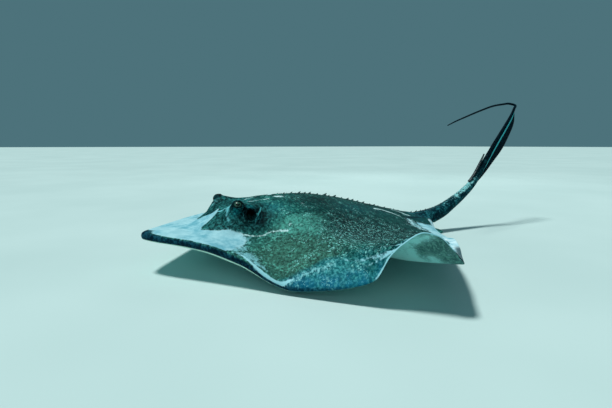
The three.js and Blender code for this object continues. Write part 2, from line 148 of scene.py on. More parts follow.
def rim_lean(u):
    u = np.clip(np.asarray(u, float), 0.06, DISC_LENGTH - 0.06)
    return 1 / np.hypot(1, (half_width(u + 0.05) - half_width(u - 0.05)) / 0.1)


def rim_half(u):
    return RIM_FRONT - (RIM_FRONT - RIM_THIN) * S(200, 330, u)


def sheet(u):
    return 77 - 0.0425 * np.asarray(u, float)


def back_height(u):
    return 15 + 52 * S(95, 205, u) + 18 * S(190, 340, u) - 60 * S(360, 810, u)


def dome_width(u):
    return 55 + 45 * S(100, 200, u) + 60 * S(215, 340, u) - 10 * S(380, 450, u) - 106 * S(470, 790, u)


def disc_at(u, v):
    """Heights of the top and the under side of the disc, and of the sheet between them."""
    u, v = np.broadcast_arrays(np.asarray(u, float), np.asarray(v, float))
    vm, a = half_width(u), np.abs(v)
    rho = np.clip(a / np.maximum(vm, 1e-6), 0, 1)
    d, e = np.maximum(vm - a, 0) * rim_lean(u), rim_half(u)
    zm, z0 = np.where(v >= 0, margin_left(u), margin_right(u)), sheet(u)
    mid = z0 + (zm - z0) * rho ** (2.2 + 2.0 * S(230, 340, u))
    rnd = np.sqrt(np.clip(1 - (1 - np.minimum(d / e, 1)) ** 2, 0, 1))
    k = 1 - np.exp(-d / FIN_TAPER)
    dome = np.exp(-(a / dome_width(u)) ** (4.6 - 2.4 * S(215, 330, u)))
    top = rnd * (e + (FIN_TOP - e) * k + np.maximum(back_height(u) - FIN_TOP, 0) * dome * S(0, 60, u))
    top = top + orbit_rise(u) * np.exp(-(((a - ORBIT_V) / ORBIT_WIDE) ** 2))
    low = rnd * (e + (FIN_BOTTOM - e) * k + (BELLY - FIN_BOTTOM) * np.exp(-((a / 190) ** 4)) * S(40, 200, u) * (1 - S(600, 830, u)))
    return mid + top, mid - low, mid


# ------------------------------------------------------------------ mesh helpers
def make_object(name, points, quads, smooth=True):
    """points (n, 3) in the row frame, in metres; quads an (m, 4) or (m, 3) array or a list of faces."""
    me = bpy.data.meshes.new(name)
    faces = quads if isinstance(quads, list) else [quads]
    me.vertices.add(len(points))
    me.vertices.foreach_set("co", np.ascontiguousarray(points, np.float32).ravel())
    loops = np.concatenate([np.asarray(f, np.int32).ravel() for f in faces])
    counts = np.concatenate([np.full(len(f), f.shape[1], np.int32) for f in faces])
    starts = np.concatenate([[0], np.cumsum(counts)[:-1]]).astype(np.int32)
    me.loops.add(len(loops))
    me.loops.foreach_set("vertex_index", loops)
    me.polygons.add(len(counts))
    me.polygons.foreach_set("loop_start", starts)
    me.polygons.foreach_set("loop_total", counts)
    me.update(calc_edges=True)
    me.validate()
    if smooth:
        me.polygons.foreach_set("use_smooth", np.ones(len(me.polygons), bool))
    ob = bpy.data.objects.new(name, me)
    bpy.context.scene.collection.objects.link(ob)
    return ob


def coords(me):
    a = np.empty(len(me.vertices) * 3, np.float32)
    me.vertices.foreach_get("co", a)
    return a.reshape(-1, 3).astype(float)


def set_coords(me, p):
    me.vertices.foreach_set("co", np.ascontiguousarray(p, np.float32).ravel())
    me.update()


def edges_of(me):
    e = np.empty(len(me.edges) * 2, np.int32)
    me.edges.foreach_get("vertices", e)
    return e.reshape(-1, 2)


def smooth_where(me, weight, rounds, strength=0.55):
    """Evens out the vertices by weight, each towards the mean of its neighbours."""
    p, e = coords(me), edges_of(me)
    near = weight[e].max(1) > 0
    e = e[near]
    n = len(p)
    deg = np.bincount(e[:, 0], minlength=n) + np.bincount(e[:, 1], minlength=n)
    w = (weight * strength)[:, None]
    for _ in range(rounds):
        acc = np.zeros_like(p)
        for k in range(3):
            acc[:, k] = np.bincount(e[:, 0], p[e[:, 1], k], n) + np.bincount(e[:, 1], p[e[:, 0], k], n)
        mean = acc / np.maximum(deg, 1)[:, None]
        ok = (deg > 0)[:, None]
        p = np.where(ok, p + w * (mean - p), p)
    set_coords(me, p)


def attribute(me, name, values):
    a = me.attributes.get(name) or me.attributes.new(name, "FLOAT", "POINT")
    a.data.foreach_set("value", np.ascontiguousarray(values, np.float32))


def join_arrays(parts):
    """[(points, faces)] to one (points, [faces])."""
    P, F, n = [], [], 0
    for p, f in parts:
        P.append(p); F.append(np.asarray(f) + n); n += len(p)
    P = np.concatenate(P)
    by = {}
    for f in F:
        by.setdefault(f.shape[1], []).append(f)
    return P, [np.concatenate(v) for v in by.values()]


def tube(rows):
    """Closed tube from rings, (k, n, 3): quads, and a fan at each end."""
    rows = np.asarray(rows)
    k, n, _ = rows.shape
    idx = np.arange(k * n).reshape(k, n)
    nxt = np.roll(idx, -1, 1)
    quads = np.stack([idx[:-1], nxt[:-1], nxt[1:], idx[1:]], -1).reshape(-1, 4)
    P = np.concatenate([rows.reshape(-1, 3), rows[0].mean(0)[None], rows[-1].mean(0)[None]])
    a, b = k * n, k * n + 1
    tris = np.concatenate([np.stack([nxt[0], idx[0], np.full(n, a)], -1), np.stack([idx[-1], nxt[-1], np.full(n, b)], -1)])
    return P, [quads, tris]


# ------------------------------------------------------------------ disc
def stations(steps):
    """Stations along the disc, closer together over the head and at the two ends."""
    w = lambda u: 1 / 2.7 + (1 / 1.25 - 1 / 2.7) * S(112, 140, u) * (1 - S(262, 300, u)) + (1 / 1.7 - 1 / 2.7) * S(292, 310, u) * (1 - S(390, 420, u)) + 0.55 * S(162, 170, u) * (1 - S(236, 246, u)) + 0.5 * np.exp(-u / 8.0)
    g = np.linspace(12, 828, 6000)
    c = np.concatenate([[0], np.cumsum((w(g[1:]) + w(g[:-1])) / 2 * np.diff(g))])
    n = int(c[-1] * steps)
    mid = np.interp(np.linspace(0, c[-1], n), c, g)
    k = np.arange(1, 13) / 13
    return np.concatenate([12 * k ** 2, mid, DISC_LENGTH - 12 * k[::-1] ** 2])


STEP = 1.0
US = stations(STEP)
NQ = int(190 * STEP)


def across(u):
    e = rim_half(u) / rim_lean(u)
    vm = half_width(u)
    rim = np.minimum(1.15 * e, 0.35 * vm)
    th = np.linspace(0, math.pi / 2, 9)[:-1]
    edge = vm - rim * (1 - np.cos(th))            # from the margin in
    g = np.linspace(0, float(vm - rim), 900)
    dense = 1.15 - 0.35 * g / max(float(vm), 1) + 2.6 * S(40, 50, g) * (1 - S(94, 108, g)) * S(140, 165, u) * (1 - S(246, 275, u))
    c = np.concatenate([[0], np.cumsum((dense[1:] + dense[:-1]) / 2 * np.diff(g))])
    inner = np.interp(np.linspace(0, c[-1], NQ + 1), c, g)
    half = np.concatenate([inner, edge[::-1]])
    return np.concatenate([-half[1:][::-1], half])


V = np.stack([across(u) for u in US])
U = np.repeat(US[:, None], V.shape[1], 1)
TOP, LOW, MID = disc_at(U, V)
A = np.abs(V)
SIDE = np.sign(V)


def normals(U, V, Z, up):
    gu = np.stack([np.gradient(U, axis=0), np.gradient(V, axis=0), np.gradient(Z, axis=0)], -1)
    gv = np.stack([np.gradient(U, axis=1), np.gradient(V, axis=1), np.gradient(Z, axis=1)], -1)
    n = np.cross(gu, gv)
    n /= np.maximum(np.linalg.norm(n, axis=-1, keepdims=True), 1e-9)
    return n * np.where(n[..., 2:3] * up < 0, -1, 1)


NT, NL = normals(U, V, TOP, 1), normals(U, V, LOW, -1)
inside = S(0.0, 14.0, (half_width(U) - A) * rim_lean(U))        # 0 at the margin

# relief of the back, in mm outwards
rel = np.zeros_like(U)
eye = EYE_C * [1, 1, 1]
P = np.stack([U, A, TOP], -1)
q = P - eye
along = q @ EYE_AXIS
off = np.linalg.norm(q - along[..., None] * EYE_AXIS, axis=-1)
front_side = S(-2, 6, along)
# which way round the eye: +1 above, -1 below
ref = np.array([0, 0, 1.0]) - EYE_AXIS[2] * EYE_AXIS; ref /= np.linalg.norm(ref)
fwd = np.cross(ref, EYE_AXIS)
up_c = (q @ ref) / np.maximum(off, 1e-6)
fw_c = (q @ fwd) / np.maximum(off, 1e-6)
# spiracle
cs, sn = math.cos(SPIRACLE_LEAN), math.sin(SPIRACLE_LEAN)


def spiracle_coords(u, z):
    """Across and along the spiracle's mouth; 1 on its lip. Across is + to the rear."""
    du, dz = u - SPIRACLE_C[0], z - SPIRACLE_C[2]
    x, y = du * cs - dz * sn, du * sn + dz * cs
    x = np.where(x > 0, x / 9.2, x / (10.2 + 1.6 * np.clip(y / 12, -1, 1)))
    y = y / 12.6
    return x, y, (np.abs(x) ** 2.3 + np.abs(y) ** 2.3) ** (1 / 2.3)


es, el, rs = spiracle_coords(U, TOP)
side_wall = S(56, 66, A) * (1 - S(112, 125, A))
pit = (1 - S(0.62, 1.0, rs)) * side_wall
rel += -24 * pit + (2.6 * bump(rs, 1.16, 0.16) * (0.45 + 0.9 * S(-0.1, 0.9, es)) + 1.1 * bump(rs, 1.5, 0.16) * S(-0.1, -0.8, es)) * side_wall
# cheek creases round the mouth of the spiracle and under the eye
rel += (0.7 * bump(rs, 1.75, 0.13) - 0.7 * bump(rs, 1.98, 0.12)) * side_wall * (1 - S(2.2, 2.6, rs))
# soft furrow between the head and the fin, and the muscle swelling outside it
furrow_v = 104 + 10 * S(150, 240, U) + 20 * S(240, 330, U)
rel += -1.8 * bump(A, furrow_v, 7.0) * S(150, 180, U) * (1 - S(255, 310, U)) * inside
# brow fold running back from the orbit, small folds round the mouth of the spiracle
rel += 1.0 * bump(TOP, 137.0, 2.2) * S(196, 206, U) * (1 - S(232, 246, U)) * S(62, 70, A) * (1 - S(92, 100, A))
for k, (c, w) in enumerate([(96.0, 2.2), (101.0, 2.0), (107.0, 2.4)]):
    rel += -0.8 * bump(TOP, c + 0.06 * (U - 200), w) * S(150, 175, U) * (1 - S(222, 250, U)) * S(72, 84, A) * (1 - S(104, 112, A))
# creases fanning out where the fin turns up
ang = np.arctan2(U - 333.0, 452.0 - A)
dist = np.hypot(U - 333.0, A - 452.0)
rel += 0.75 * np.sin(ang * 46 + 1.2 * np.sin(dist / 23)) * S(-0.62, -0.25, ang) * (1 - S(0.25, 0.7, ang)) * S(10, 40, dist) * (1 - S(120, 210, dist)) * (SIDE > 0) * inside
# fin rays, faint, fanning from the shoulder line to the margin
fan = np.arctan2(U - 395.0, A + 30.0)
rays = np.sin(fan * 150 + 0.8 * np.sin(A / 37.0))
RAYS = rays * S(0.45, 0.85, A / half_width(U))
rel += 0.16 * RAYS * inside
# slow unevenness of the flesh
rel += (0.55 * np.sin(U / 23.0 + 1.3 * np.sin(V / 31.0)) * np.sin(V / 27.0 + 0.8 * np.sin(U / 19.0)) + 0.35 * np.sin(U / 9.1 + V / 12.7) * np.sin(V / 10.3 - U / 15.0)) * inside
# ridge of the back
rel += 1.6 * bump(V, 0, 5.0) * S(270, 330, U) * (1 - S(760, 800, U))
# low folds between the eyes and over the brow
rel += 0.8 * np.sin((U + 0.4 * A) / 3.6) * bump(U, 172, 14) * (1 - S(44, 56, A)) + 0.6 * np.sin(A / 3.1) * bump(A, 38, 10) * S(188, 200, U) * (1 - S(236, 256, U))

# relief of the under side
rl = np.zeros_like(U)
mouth_u = 154 - 0.006 * A * A
gape = 1 - S(30, 36, A)
rl += -8.0 * bump(U, mouth_u, 2.8) * gape + 2.2 * (bump(U, mouth_u - 7, 4.0) + bump(U, mouth_u + 7, 4.5)) * (1 - S(32, 42, A))
curtain = S(126, 134, U) * (1 - S(145.0, 147.5, U + 0.004 * A * A)) * (1 - S(21, 25, A))
rl += 2.8 * curtain + 0.7 * curtain * np.sin(V / 2.2) * S(140, 145, U)
nr = np.hypot((U - 131) / 6.5, (A - 30 - 0.25 * (U - 131)) / 7.5)
rl += -7.0 * (1 - S(0.4, 1.0, nr)) + 1.2 * bump(nr, 1.25, 0.22)
for k in range(5):
    gu, gv, gw = 212 + 24 * k, 92 - 6.5 * k, 12.5 - 0.9 * k
    slant = 0.20 + 0.05 * k
    x = (A - gv)
    line = U - gu - slant * x + 0.02 * x * x
    on = 1 - S(gw * 0.8, gw * 1.15, np.abs(x))
    rl += -4.2 * bump(line, 0, 1.9) * on + 1.3 * bump(line, 4.4, 2.4) * on
rl += -5.0 * bump(V, 0, 2.4) * S(742, 748, U) * (1 - S(768, 776, U)) + 1.2 * (bump(A, 6, 3.0)) * S(738, 750, U) * (1 - S(768, 780, U))
rl += 2.2 * bump(U, 352 - 0.0012 * A * A, 11.0) * (1 - S(120, 175, A))
rl += 0.16 * RAYS * inside
rl += (0.5 * np.sin(U / 25.0 + 1.1 * np.sin(V / 29.0)) * np.sin(V / 31.0)) * inside
rl *= S(0, 3.0, (half_width(U) - A) * rim_lean(U))

PT = np.stack([U, V, TOP], -1) + NT * rel[..., None]


def lid_coords(p):
    """For points with v taken positive: distance from the eyeball's middle, direction, and where it lies against the opening of the lids (1 on its edge)."""
    q = p - EYE_C
    r = np.maximum(np.linalg.norm(q, axis=-1), 1e-6)
    d = q / r[..., None]
    x, y, f = d @ fwd * EYE_R, d @ ref * EYE_R, d @ EYE_AXIS
    xe = np.clip(x / 9.6, -1.0, 1.0)
    half = np.where(y > 0.2, 5.0, 5.6) * (1 - 0.30 * xe * xe)
    e_ = np.sqrt((x / 9.6) ** 2 + ((y - 0.2) / half) ** 2)
    return r, d, x, y, f, np.where(f > 0.1, e_, 9.0)


def smax(a, b, k):
    return -smin(-a, -b, k)


def set_lids(P):
    """Draws the skin over the eyeball as an upper and a lower lid, and tucks it in behind their edge."""
    p = P.copy(); p[..., 1] = np.abs(p[..., 1])
    near = np.linalg.norm(p - EYE_C, axis=-1) < 40
    q = p[near]
    r, d, x, y, f, e_ = lid_coords(q)
    up = S(-1.0, 2.5, y)
    skin_r = 14.3 + 0.75 * bump(e_, 1.17, 0.14) + 0.9 * up * bump(e_, 1.30, 0.30) - 0.75 * up * bump(e_, 1.80, 0.16) + 0.55 * up * bump(e_, 2.10, 0.2) \
        - 0.5 * (1 - up) * bump(e_, 1.55, 0.13) + 0.4 * (1 - up) * bump(e_, 1.78, 0.14) - 0.35 * (1 - up) * bump(e_, 2.0, 0.12)
    skin_r = skin_r - 3.2 * S(0.35, -0.35, f)
    outer = smax(r, skin_r, 2.6)
    outer = np.where(f > -0.5, outer, r)
    w = S(0.88, 1.05, e_)
    new = (1 - w) * 10.8 + w * outer
    p[near] = EYE_C + d * new[:, None]
    p[..., 1] *= np.where(P[..., 1] < 0, -1, 1)
    return p


PT = set_lids(PT)
PL = np.stack([U, V, LOW], -1) + NL * rl[..., None]


def disc_mesh():
    r, c = U.shape
    edge = np.stack([U, V, MID], -1)
    top = PT.copy(); top[:, 0], top[:, -1] = edge[:, 0], edge[:, -1]
    P = np.concatenate([top.reshape(-1, 3), PL[:, 1:-1].reshape(-1, 3), [[0, 0, disc_at(0.01, 0)[2]], [DISC_LENGTH, 0, disc_at(DISC_LENGTH, 0)[2]]]])
    ti = np.arange(r * c).reshape(r, c)
    li = ti.copy(); li[:, 1:-1] = r * c + np.arange(r * (c - 2)).reshape(r, c - 2)
    nose, tail = len(P) - 2, len(P) - 1
    tq = np.stack([ti[:-1, :-1], ti[1:, :-1], ti[1:, 1:], ti[:-1, 1:]], -1).reshape(-1, 4)
    lq = np.stack([li[:-1, :-1], li[:-1, 1:], li[1:, 1:], li[1:, :-1]], -1).reshape(-1, 4)
    f = lambda a, b, m: np.stack([a, b, np.full(len(a), m)], -1)
    tri = np.concatenate([f(ti[0, :-1], ti[0, 1:], nose), f(li[0, 1:], li[0, :-1], nose), f(ti[-1, 1:], ti[-1, :-1], tail), f(li[-1, :-1], li[-1, 1:], tail)])
    # u to the row frame's Y and v to its X is a mirroring, so the faces above are wound for it
    return P, [np.concatenate([tq, lq])[:, ::-1], tri[:, ::-1]]


# ------------------------------------------------------------------ tail
def centripetal(points, per):
    """The same run as in the solids: a centripetal Catmull-Rom curve."""
    n = len(points)
    out, tan = [], []
    for i in range(n - 1):
        p1, p2 = points[i], points[i + 1]
        p0 = points[i - 1] if i else 2 * points[0] - points[1]
        p3 = points[i + 2] if i + 2 < n else 2 * points[-1] - points[-2]
        d0, d1, d2 = [max(np.linalg.norm(b - a), 1e-6) ** 0.5 for a, b in ((p0, p1), (p1, p2), (p2, p3))]
        t1 = ((p1 - p0) / d0 - (p2 - p0) / (d0 + d1) + (p2 - p1) / d1) * d1
        t2 = ((p2 - p1) / d1 - (p3 - p1) / (d1 + d2) + (p3 - p2) / d2) * d1
        t = (np.arange(per) / per)[:, None]
        if i == n - 2:
            t = np.linspace(0, 1, per + 1)[:, None]
        c2, c3 = -3 * p1 + 3 * p2 - 2 * t1 - t2, 2 * p1 - 2 * p2 + t1 + t2
        out.append(p1 + t1 * t + c2 * t ** 2 + c3 * t ** 3)
        tan.append(t1 + 2 * c2 * t + 3 * c3 * t ** 2)
    return np.concatenate(out), np.concatenate(tan)


PER = 200
TC, TT = centripetal(TAIL[:, :3], PER)
TT /= np.linalg.norm(TT, axis=1, keepdims=True)
TROW = np.linspace(0, len(TAIL) - 1, len(TC))
TARC = np.concatenate([[0], np.cumsum(np.linalg.norm(np.diff(TC, axis=0), axis=1))])
TA = np.interp(TROW, np.arange(len(TAIL)), TAIL[:, 3])
TB = np.interp(TROW, np.arange(len(TAIL)), TAIL[:, 4])
k = np.ones(121) / 121
TA = np.convolve(np.pad(TA, 60, mode="edge"), k, "valid"); TB = np.convolve(np.pad(TB, 60, mode="edge"), k, "valid")
side = np.array([0, 1.0, 0])
TS, TBK = np.empty_like(TC), np.empty_like(TC)
for i in range(len(TC)):
    side = side - side @ TT[i] * TT[i]; side /= np.linalg.norm(side)
    b = np.cross(TT[i], side); b /= np.linalg.norm(b)
    TS[i], TBK[i] = side, b if i == 0 else (b if b @ TBK[i - 1] > 0 else -b)
if TBK[0, 2] < 0:
    TBK = -TBK


def tail_rows(arcs):
    """Index of the run at these arc lengths."""
    return np.clip(np.searchsorted(TARC, arcs), 0, len(TARC) - 1)


def tail_mesh(n_side, step):
    arcs = [0.0]
    while arcs[-1] < TARC[-1]:
        i = tail_rows(arcs[-1])
        arcs.append(arcs[-1] + max(0.55, min(step, 0.42 * TB[i])))
    arcs[-1] = TARC[-1]
    I = tail_rows(np.array(arcs))
    th = 2 * math.pi * (np.arange(n_side) + 0.5) / n_side
    c, s = np.cos(th), np.sin(th)
    rows = []
    for i in I:
        a, b = TA[i], TB[i]
        # a little flat-sided at the root, with a low keel above and below further on
        sq = 0.10 * (1 - S(60, 300, TARC[i]))
        g = 1 + sq * np.abs(np.sin(2 * th)) ** 2
        keel = 0.10 * S(330, 420, TARC[i]) * (np.exp(-((th - math.pi / 2) / 0.35) ** 2) + np.exp(-((th - 3 * math.pi / 2) / 0.35) ** 2))
        lump = 0.012 * np.sin(TARC[i] / 4.7 + 3 * c) * np.sin(3 * th + TARC[i] / 9.0)
        r = g + keel + lump
        end = math.sqrt(max(1 - max(0, 1 - (TARC[-1] - TARC[i]) / 3.0) ** 2, 0.02))
        rows.append(TC[i] + np.outer(c * a * r * end, TS[i]) + np.outer(s * b * r * end, TBK[i]))
    return tube(np.array(rows)), I


def row_to_index(row):
    return int(round(row * PER))


FOLD_FROM, FOLD_TO, FOLD_DEPTH = 7.1, 11.6, 34.0


def fold_depth(qf):
    return 1.2 + FOLD_DEPTH * np.power(np.maximum(np.sin(np.pi * np.power(qf, 1.15)), 0), 0.8)


def fold_mesh():
    rows = []
    n = 260
    for qf in np.linspace(0, 1, n):
        i = row_to_index(FOLD_FROM + (FOLD_TO - FOLD_FROM) * qf)
        d = float(fold_depth(qf))
        lat = 1.3 * math.sin(qf * 17) * math.sin(math.pi * qf)          # the free edge waves a little
        ring = []
        hs = np.linspace(0, 1, 12)
        for sgn in (1, -1):
            for h in (hs if sgn == 1 else hs[::-1]):
                depth = TB[i] * 0.45 + (TB[i] * 0.55 + d) * h
                half = (1.9 * (1 - h) ** 1.5 + 0.95) * (math.sqrt(max(1 - (max(h, 0.9) - 0.9) ** 2 / 0.01, 0.05)) if h > 0.9 else 1)
                half += 0.16 * math.sin(qf * 90 + h * 3) * h * (1 - h) * sgn
                ring.append(TC[i] + TS[i] * (sgn * half + lat * h * h) - TBK[i] * depth)
        rows.append(ring)
    return tube(np.array(rows))


# ------------------------------------------------------------------ pelvic fins
def pelvic_mesh(s):
    n, m = 72, 40
    th = np.linspace(0, math.pi, m + 2)[1:-1]
    ph = 2 * math.pi * np.arange(n) / n
    T, Pn = np.meshgrid(th, ph, indexing="ij")
    # pole axis across the lobe's width
    x = np.sin(T) * np.cos(Pn); z = np.sin(T) * np.sin(Pn); y = np.cos(T)
    ux, vy, wz = x * PELVIC["ru"], y * PELVIC["rv"], np.sign(z) * np.abs(z) ** 0.8 * PELVIC["rz"] * (1 - 0.35 * S(0, 1, x))
    wz = wz + 0.35 * np.sin(np.arctan2(vy, ux + 90) * 60) * S(0.1, 0.9, x) * (np.abs(z) > 0.05)
    c0, s0 = math.cos(-s * PELVIC["splay"]), math.sin(-s * PELVIC["splay"])
    tilt = s * 0.16
    # turned as the solids are: about the run, across, then in plan
    X, Y, Z = s * vy, ux, wz                     # row axes before turning: X across, Y back
    def rx(p, t): return p[0], p[1] * math.cos(t) - p[2] * math.sin(t), p[1] * math.sin(t) + p[2] * math.cos(t)
    def ry(p, t): return p[0] * math.cos(t) + p[2] * math.sin(t), p[1], -p[0] * math.sin(t) + p[2] * math.cos(t)
    def rz(p, t): return p[0] * math.cos(t) - p[1] * math.sin(t), p[0] * math.sin(t) + p[1] * math.cos(t), p[2]
    p = rx(ry(rz((X, Y, Z), -s * PELVIC["splay"]), tilt), PELVIC["droop"])
    pts = np.stack([p[1] + PELVIC["u"], p[0] + s * PELVIC["v"], p[2] + PELVIC["z"]], -1)
    P, F = tube(pts)
    return P, F


def oriented(P, F):
    """Points in animal stations to an object-ready mesh with its faces out."""
    Q = to_row(P)
    vol = 0.0
    for f in F:
        a, b, c = Q[f[:, 0]], Q[f[:, 1]], Q[f[:, 2]]
        vol += np.einsum("ij,ij->i", a, np.cross(b, c)).sum()
        if f.shape[1] == 4:
            d = Q[f[:, 3]]
            vol += np.einsum("ij,ij->i", a, np.cross(c, d)).sum()
    return Q, (F if vol > 0 else [f[:, ::-1] for f in F])


disc = make_object("disc_part", *oriented(*disc_mesh()))
(tail_pf, TAIL_I) = tail_mesh(40, 1.5)
tail = make_object("tail_part", *oriented(*tail_pf))
fold_ob = make_object("fold_part", *oriented(*fold_mesh()))
lobes = [make_object("lobe_part", *oriented(*pelvic_mesh(s))) for s in (1, -1)]


def union(base, others):
    for o in others:
        m = base.modifiers.new("u", "BOOLEAN")
        m.operation, m.solver, m.object = "UNION", "MANIFOLD", o
        dg = bpy.context.evaluated_depsgraph_get()
        me = bpy.data.meshes.new_from_object(base.evaluated_get(dg), depsgraph=dg)
        base.modifiers.clear()
        old = base.data
        base.data = me
        bpy.data.meshes.remove(old)
        bpy.data.objects.remove(o)
    return base


skin = union(disc, [tail, fold_ob, *lobes])
skin.name = "skin"; skin.data.name = "skin"


# ------------------------------------------------------------------ where each vertex lies
def smooth_poly(u, a, pts):
    """Distance in mm from a run of points, in plan."""
    best = np.full(u.shape, 1e9)
    for (u0, a0), (u1, a1) in zip(pts[:-1], pts[1:]):
        du, da = u1 - u0, a1 - a0
        t = np.clip(((u - u0) * du + (a - a0) * da) / (du * du + da * da), 0, 1)
        best = np.minimum(best, np.hypot(u - u0 - t * du, a - a0 - t * da))
    return best


def blob(u, a, cu, ca, ru, ra, turn=0.0):
    c, s_ = math.cos(turn), math.sin(turn)
    x, y = u - cu, a - ca
    return np.exp(-(((x * c + y * s_) / ru) ** 2 + ((-x * s_ + y * c) / ra) ** 2))


def nearest_on_tail(p):
    """Index of the nearest station of the tail's run, and the distance, for points (n, 3)."""
    idx = np.arange(0, len(TC), 5)
    C = TC[idx]
    out, dist = np.empty(len(p), int), np.empty(len(p))
    for a in range(0, len(p), 20000):
        q = p[a:a + 20000]
        d = (q ** 2).sum(1)[:, None] - 2 * q @ C.T + (C ** 2).sum(1)[None]
        j = d.argmin(1)
        out[a:a + 20000], dist[a:a + 20000] = idx[j], np.sqrt(np.maximum(d[np.arange(len(q)), j], 0))
    return out, dist


def regions(me):
    """Position of each vertex on the animal, and which part it belongs to."""
    p = to_animal(coords(me))
    u, v, z = p.T
    top, low, mid = disc_at(np.clip(u, 0.01, DISC_LENGTH - 0.01), v)
    on_disc = (np.abs(v) <= half_width(u) + 0.5) & (u <= DISC_LENGTH + 0.5)
    far = (u > 690) | (z > 160)
    near = np.full(len(p), 0)
    dist = np.full(len(p), 1e9)
    near[far], dist[far] = nearest_on_tail(p[far])
    reach = np.hypot(TA[near], TB[near]) * 0.5 + 9
    tail_on = far & ((u > 842) | (z > 160) | ((np.abs(z - mid) > 4) & (dist < np.maximum(TA[near], TB[near]) * 1.12) & ((z > top + 0.6) | (z < low - 0.6) | ~on_disc)))
    # the blade of the fold
    rel_ = p - TC[near]
    b_ = (rel_ * TBK[near]).sum(1)
    s_ = (rel_ * TS[near]).sum(1)
    row = TROW[near]
    fold_on = far & (row > FOLD_FROM - 0.1) & (row < FOLD_TO + 0.3) & (b_ < -TB[near] * 1.02) & (z > 60) & (np.abs(s_) < 5)
    lobe_on = (u > 700) & (z < 34) & (np.abs(v) > 8) & ~fold_on & ((z < low - 0.8) | (np.abs(v) > half_width(u)) | (u > 800)) & (z < 40 - 6 * S(820, 860, u)) & (u < 850)
    tail_on &= ~lobe_on
    return dict(p=p, u=u, v=v, z=z, a=np.abs(v), top=top, low=low, mid=mid, near=near, dist=dist, tail=tail_on.astype(float), fold=fold_on.astype(float),
                lobe=lobe_on.astype(float), b=b_, s=s_, row=row)


R = regions(skin.data)
# the flesh runs together where the tail leaves the disc and where the pelvic fins join it
w = bump(R["u"], 770, 95) * (R["a"] < 110) * S(690, 740, R["u"])
crease = np.exp(-((np.minimum(np.abs(R["z"] - R["top"]), np.abs(R["z"] - R["low"])) / 5.0) ** 2))
w = w * np.clip(crease + 0.15, 0, 1) * (1 - R["fold"])
w = w * (1 - S(842, 850, R["u"]))
smooth_where(skin.data, np.clip(w, 0, 1), 36)
# and where the keel leaves the tail
wf = R["fold"] * 0 + (np.abs(R["b"] + TB[R["near"]]) < 3.0) * (R["row"] > FOLD_FROM - 0.2) * (R["row"] < FOLD_TO + 0.2) * (R["z"] > 60) * (np.abs(R["s"]) < 8)
smooth_where(skin.data, wf.astype(float), 6)
R = regions(skin.data)

u, v, z, a = R["u"], R["v"], R["z"], R["a"]
vm = half_width(u)
lean = rim_lean(u)
from_rim = (vm - a) * lean                                   # mm in from the margin
me = skin.data
nrm = np.empty(len(me.vertices) * 3, np.float32)
me.vertices.foreach_get("normal", nrm)
nrm = nrm.reshape(-1, 3).astype(float)
part_disc = (1 - R["tail"]) * (1 - R["fold"]) * (1 - R["lobe"])
e = rim_half(u)
height = (z - R["mid"]) / np.maximum(e, 1.6)
under_disc = 1 - S(-0.75, -0.35, height)                     # the pale under side starts just below the margin
# painted shade: at the front the dark margin colour is carried a little way round on to the under side
under_disc *= 1 - (1 - S(1.4, 3.0, from_rim)) * (1 - S(185, 215, u))
tn = R["near"]
tail_low = S(0.25, 0.85, -R["b"] / np.maximum(TB[tn], 0.1)) * R["tail"] * (1 - S(830, 960, u)) * (z < 90)
under_lobe = S(0.1, 0.6, -nrm[:, 2]) * R["lobe"]
under = under_disc * part_disc + 0.75 * tail_low + under_lobe
# smooth waves, to keep drawn edges from looking ruled
wob = 5.0 * np.sin(u / 13.0 + 1.7 * np.sin(a / 17.0)) + 3.0 * np.sin(a / 7.3 + u / 11.0)

DUST = through([(0, 167), (15, 160), (25, 148), (33, 122), (45, 117), (55, 122), (70, 138), (80, 154), (91, 167), (96, 173), (103, 180), (111, 185),
                (119, 187), (127, 185), (134, 180), (142, 173), (150, 166), (158, 159), (166, 148), (171, 120), (180, 60), (205, 20)])
DUST_FAR = through([(0, 160), (5, 153), (20, 141), (40, 132), (55, 132), (70, 138), (80, 150), (95, 166), (108, 180), (118, 178), (126, 168),
                    (140, 160), (152, 154), (160, 146), (165, 116), (175, 60), (200, 20)])
edge = np.where(v < 0, DUST_FAR(a), DUST(a)) + 0.35 * wob
rim_top = 5.0 - 2.2 * S(22, 40, u) - 1.8 * S(75, 98, u)          # how far the dark of the margin comes over on to the back
dust = (1 - S(-7 - 8 * S(92, 112, a), 9 + 7 * S(92, 112, a), u - edge)) * S(rim_top + 0.4, rim_top + 3.4, from_rim) * S(14, 30, u + 0.25 * a)
right = S(0, 20, -v)
band = (1 - S(30, 58, from_rim + 0.8 * wob)) * (1 - S(195, 245, u)) * S(rim_top + 0.4, rim_top + 3.4, from_rim) * S(60, 100, u)
dust = np.maximum(dust, band * right * 0.92)
feather = bump(u, edge + 6, 16) * S(100, 120, a) * (1 - S(176, 215, a))        # wisps behind the dust
wisps = (0.9 * blob(u, a, 165, 188, 30, 24, 0.7) + 0.55 * blob(u, a, 185, 226, 30, 9, 0.85) + 0.6 * feather) * S(2, 8, from_rim)

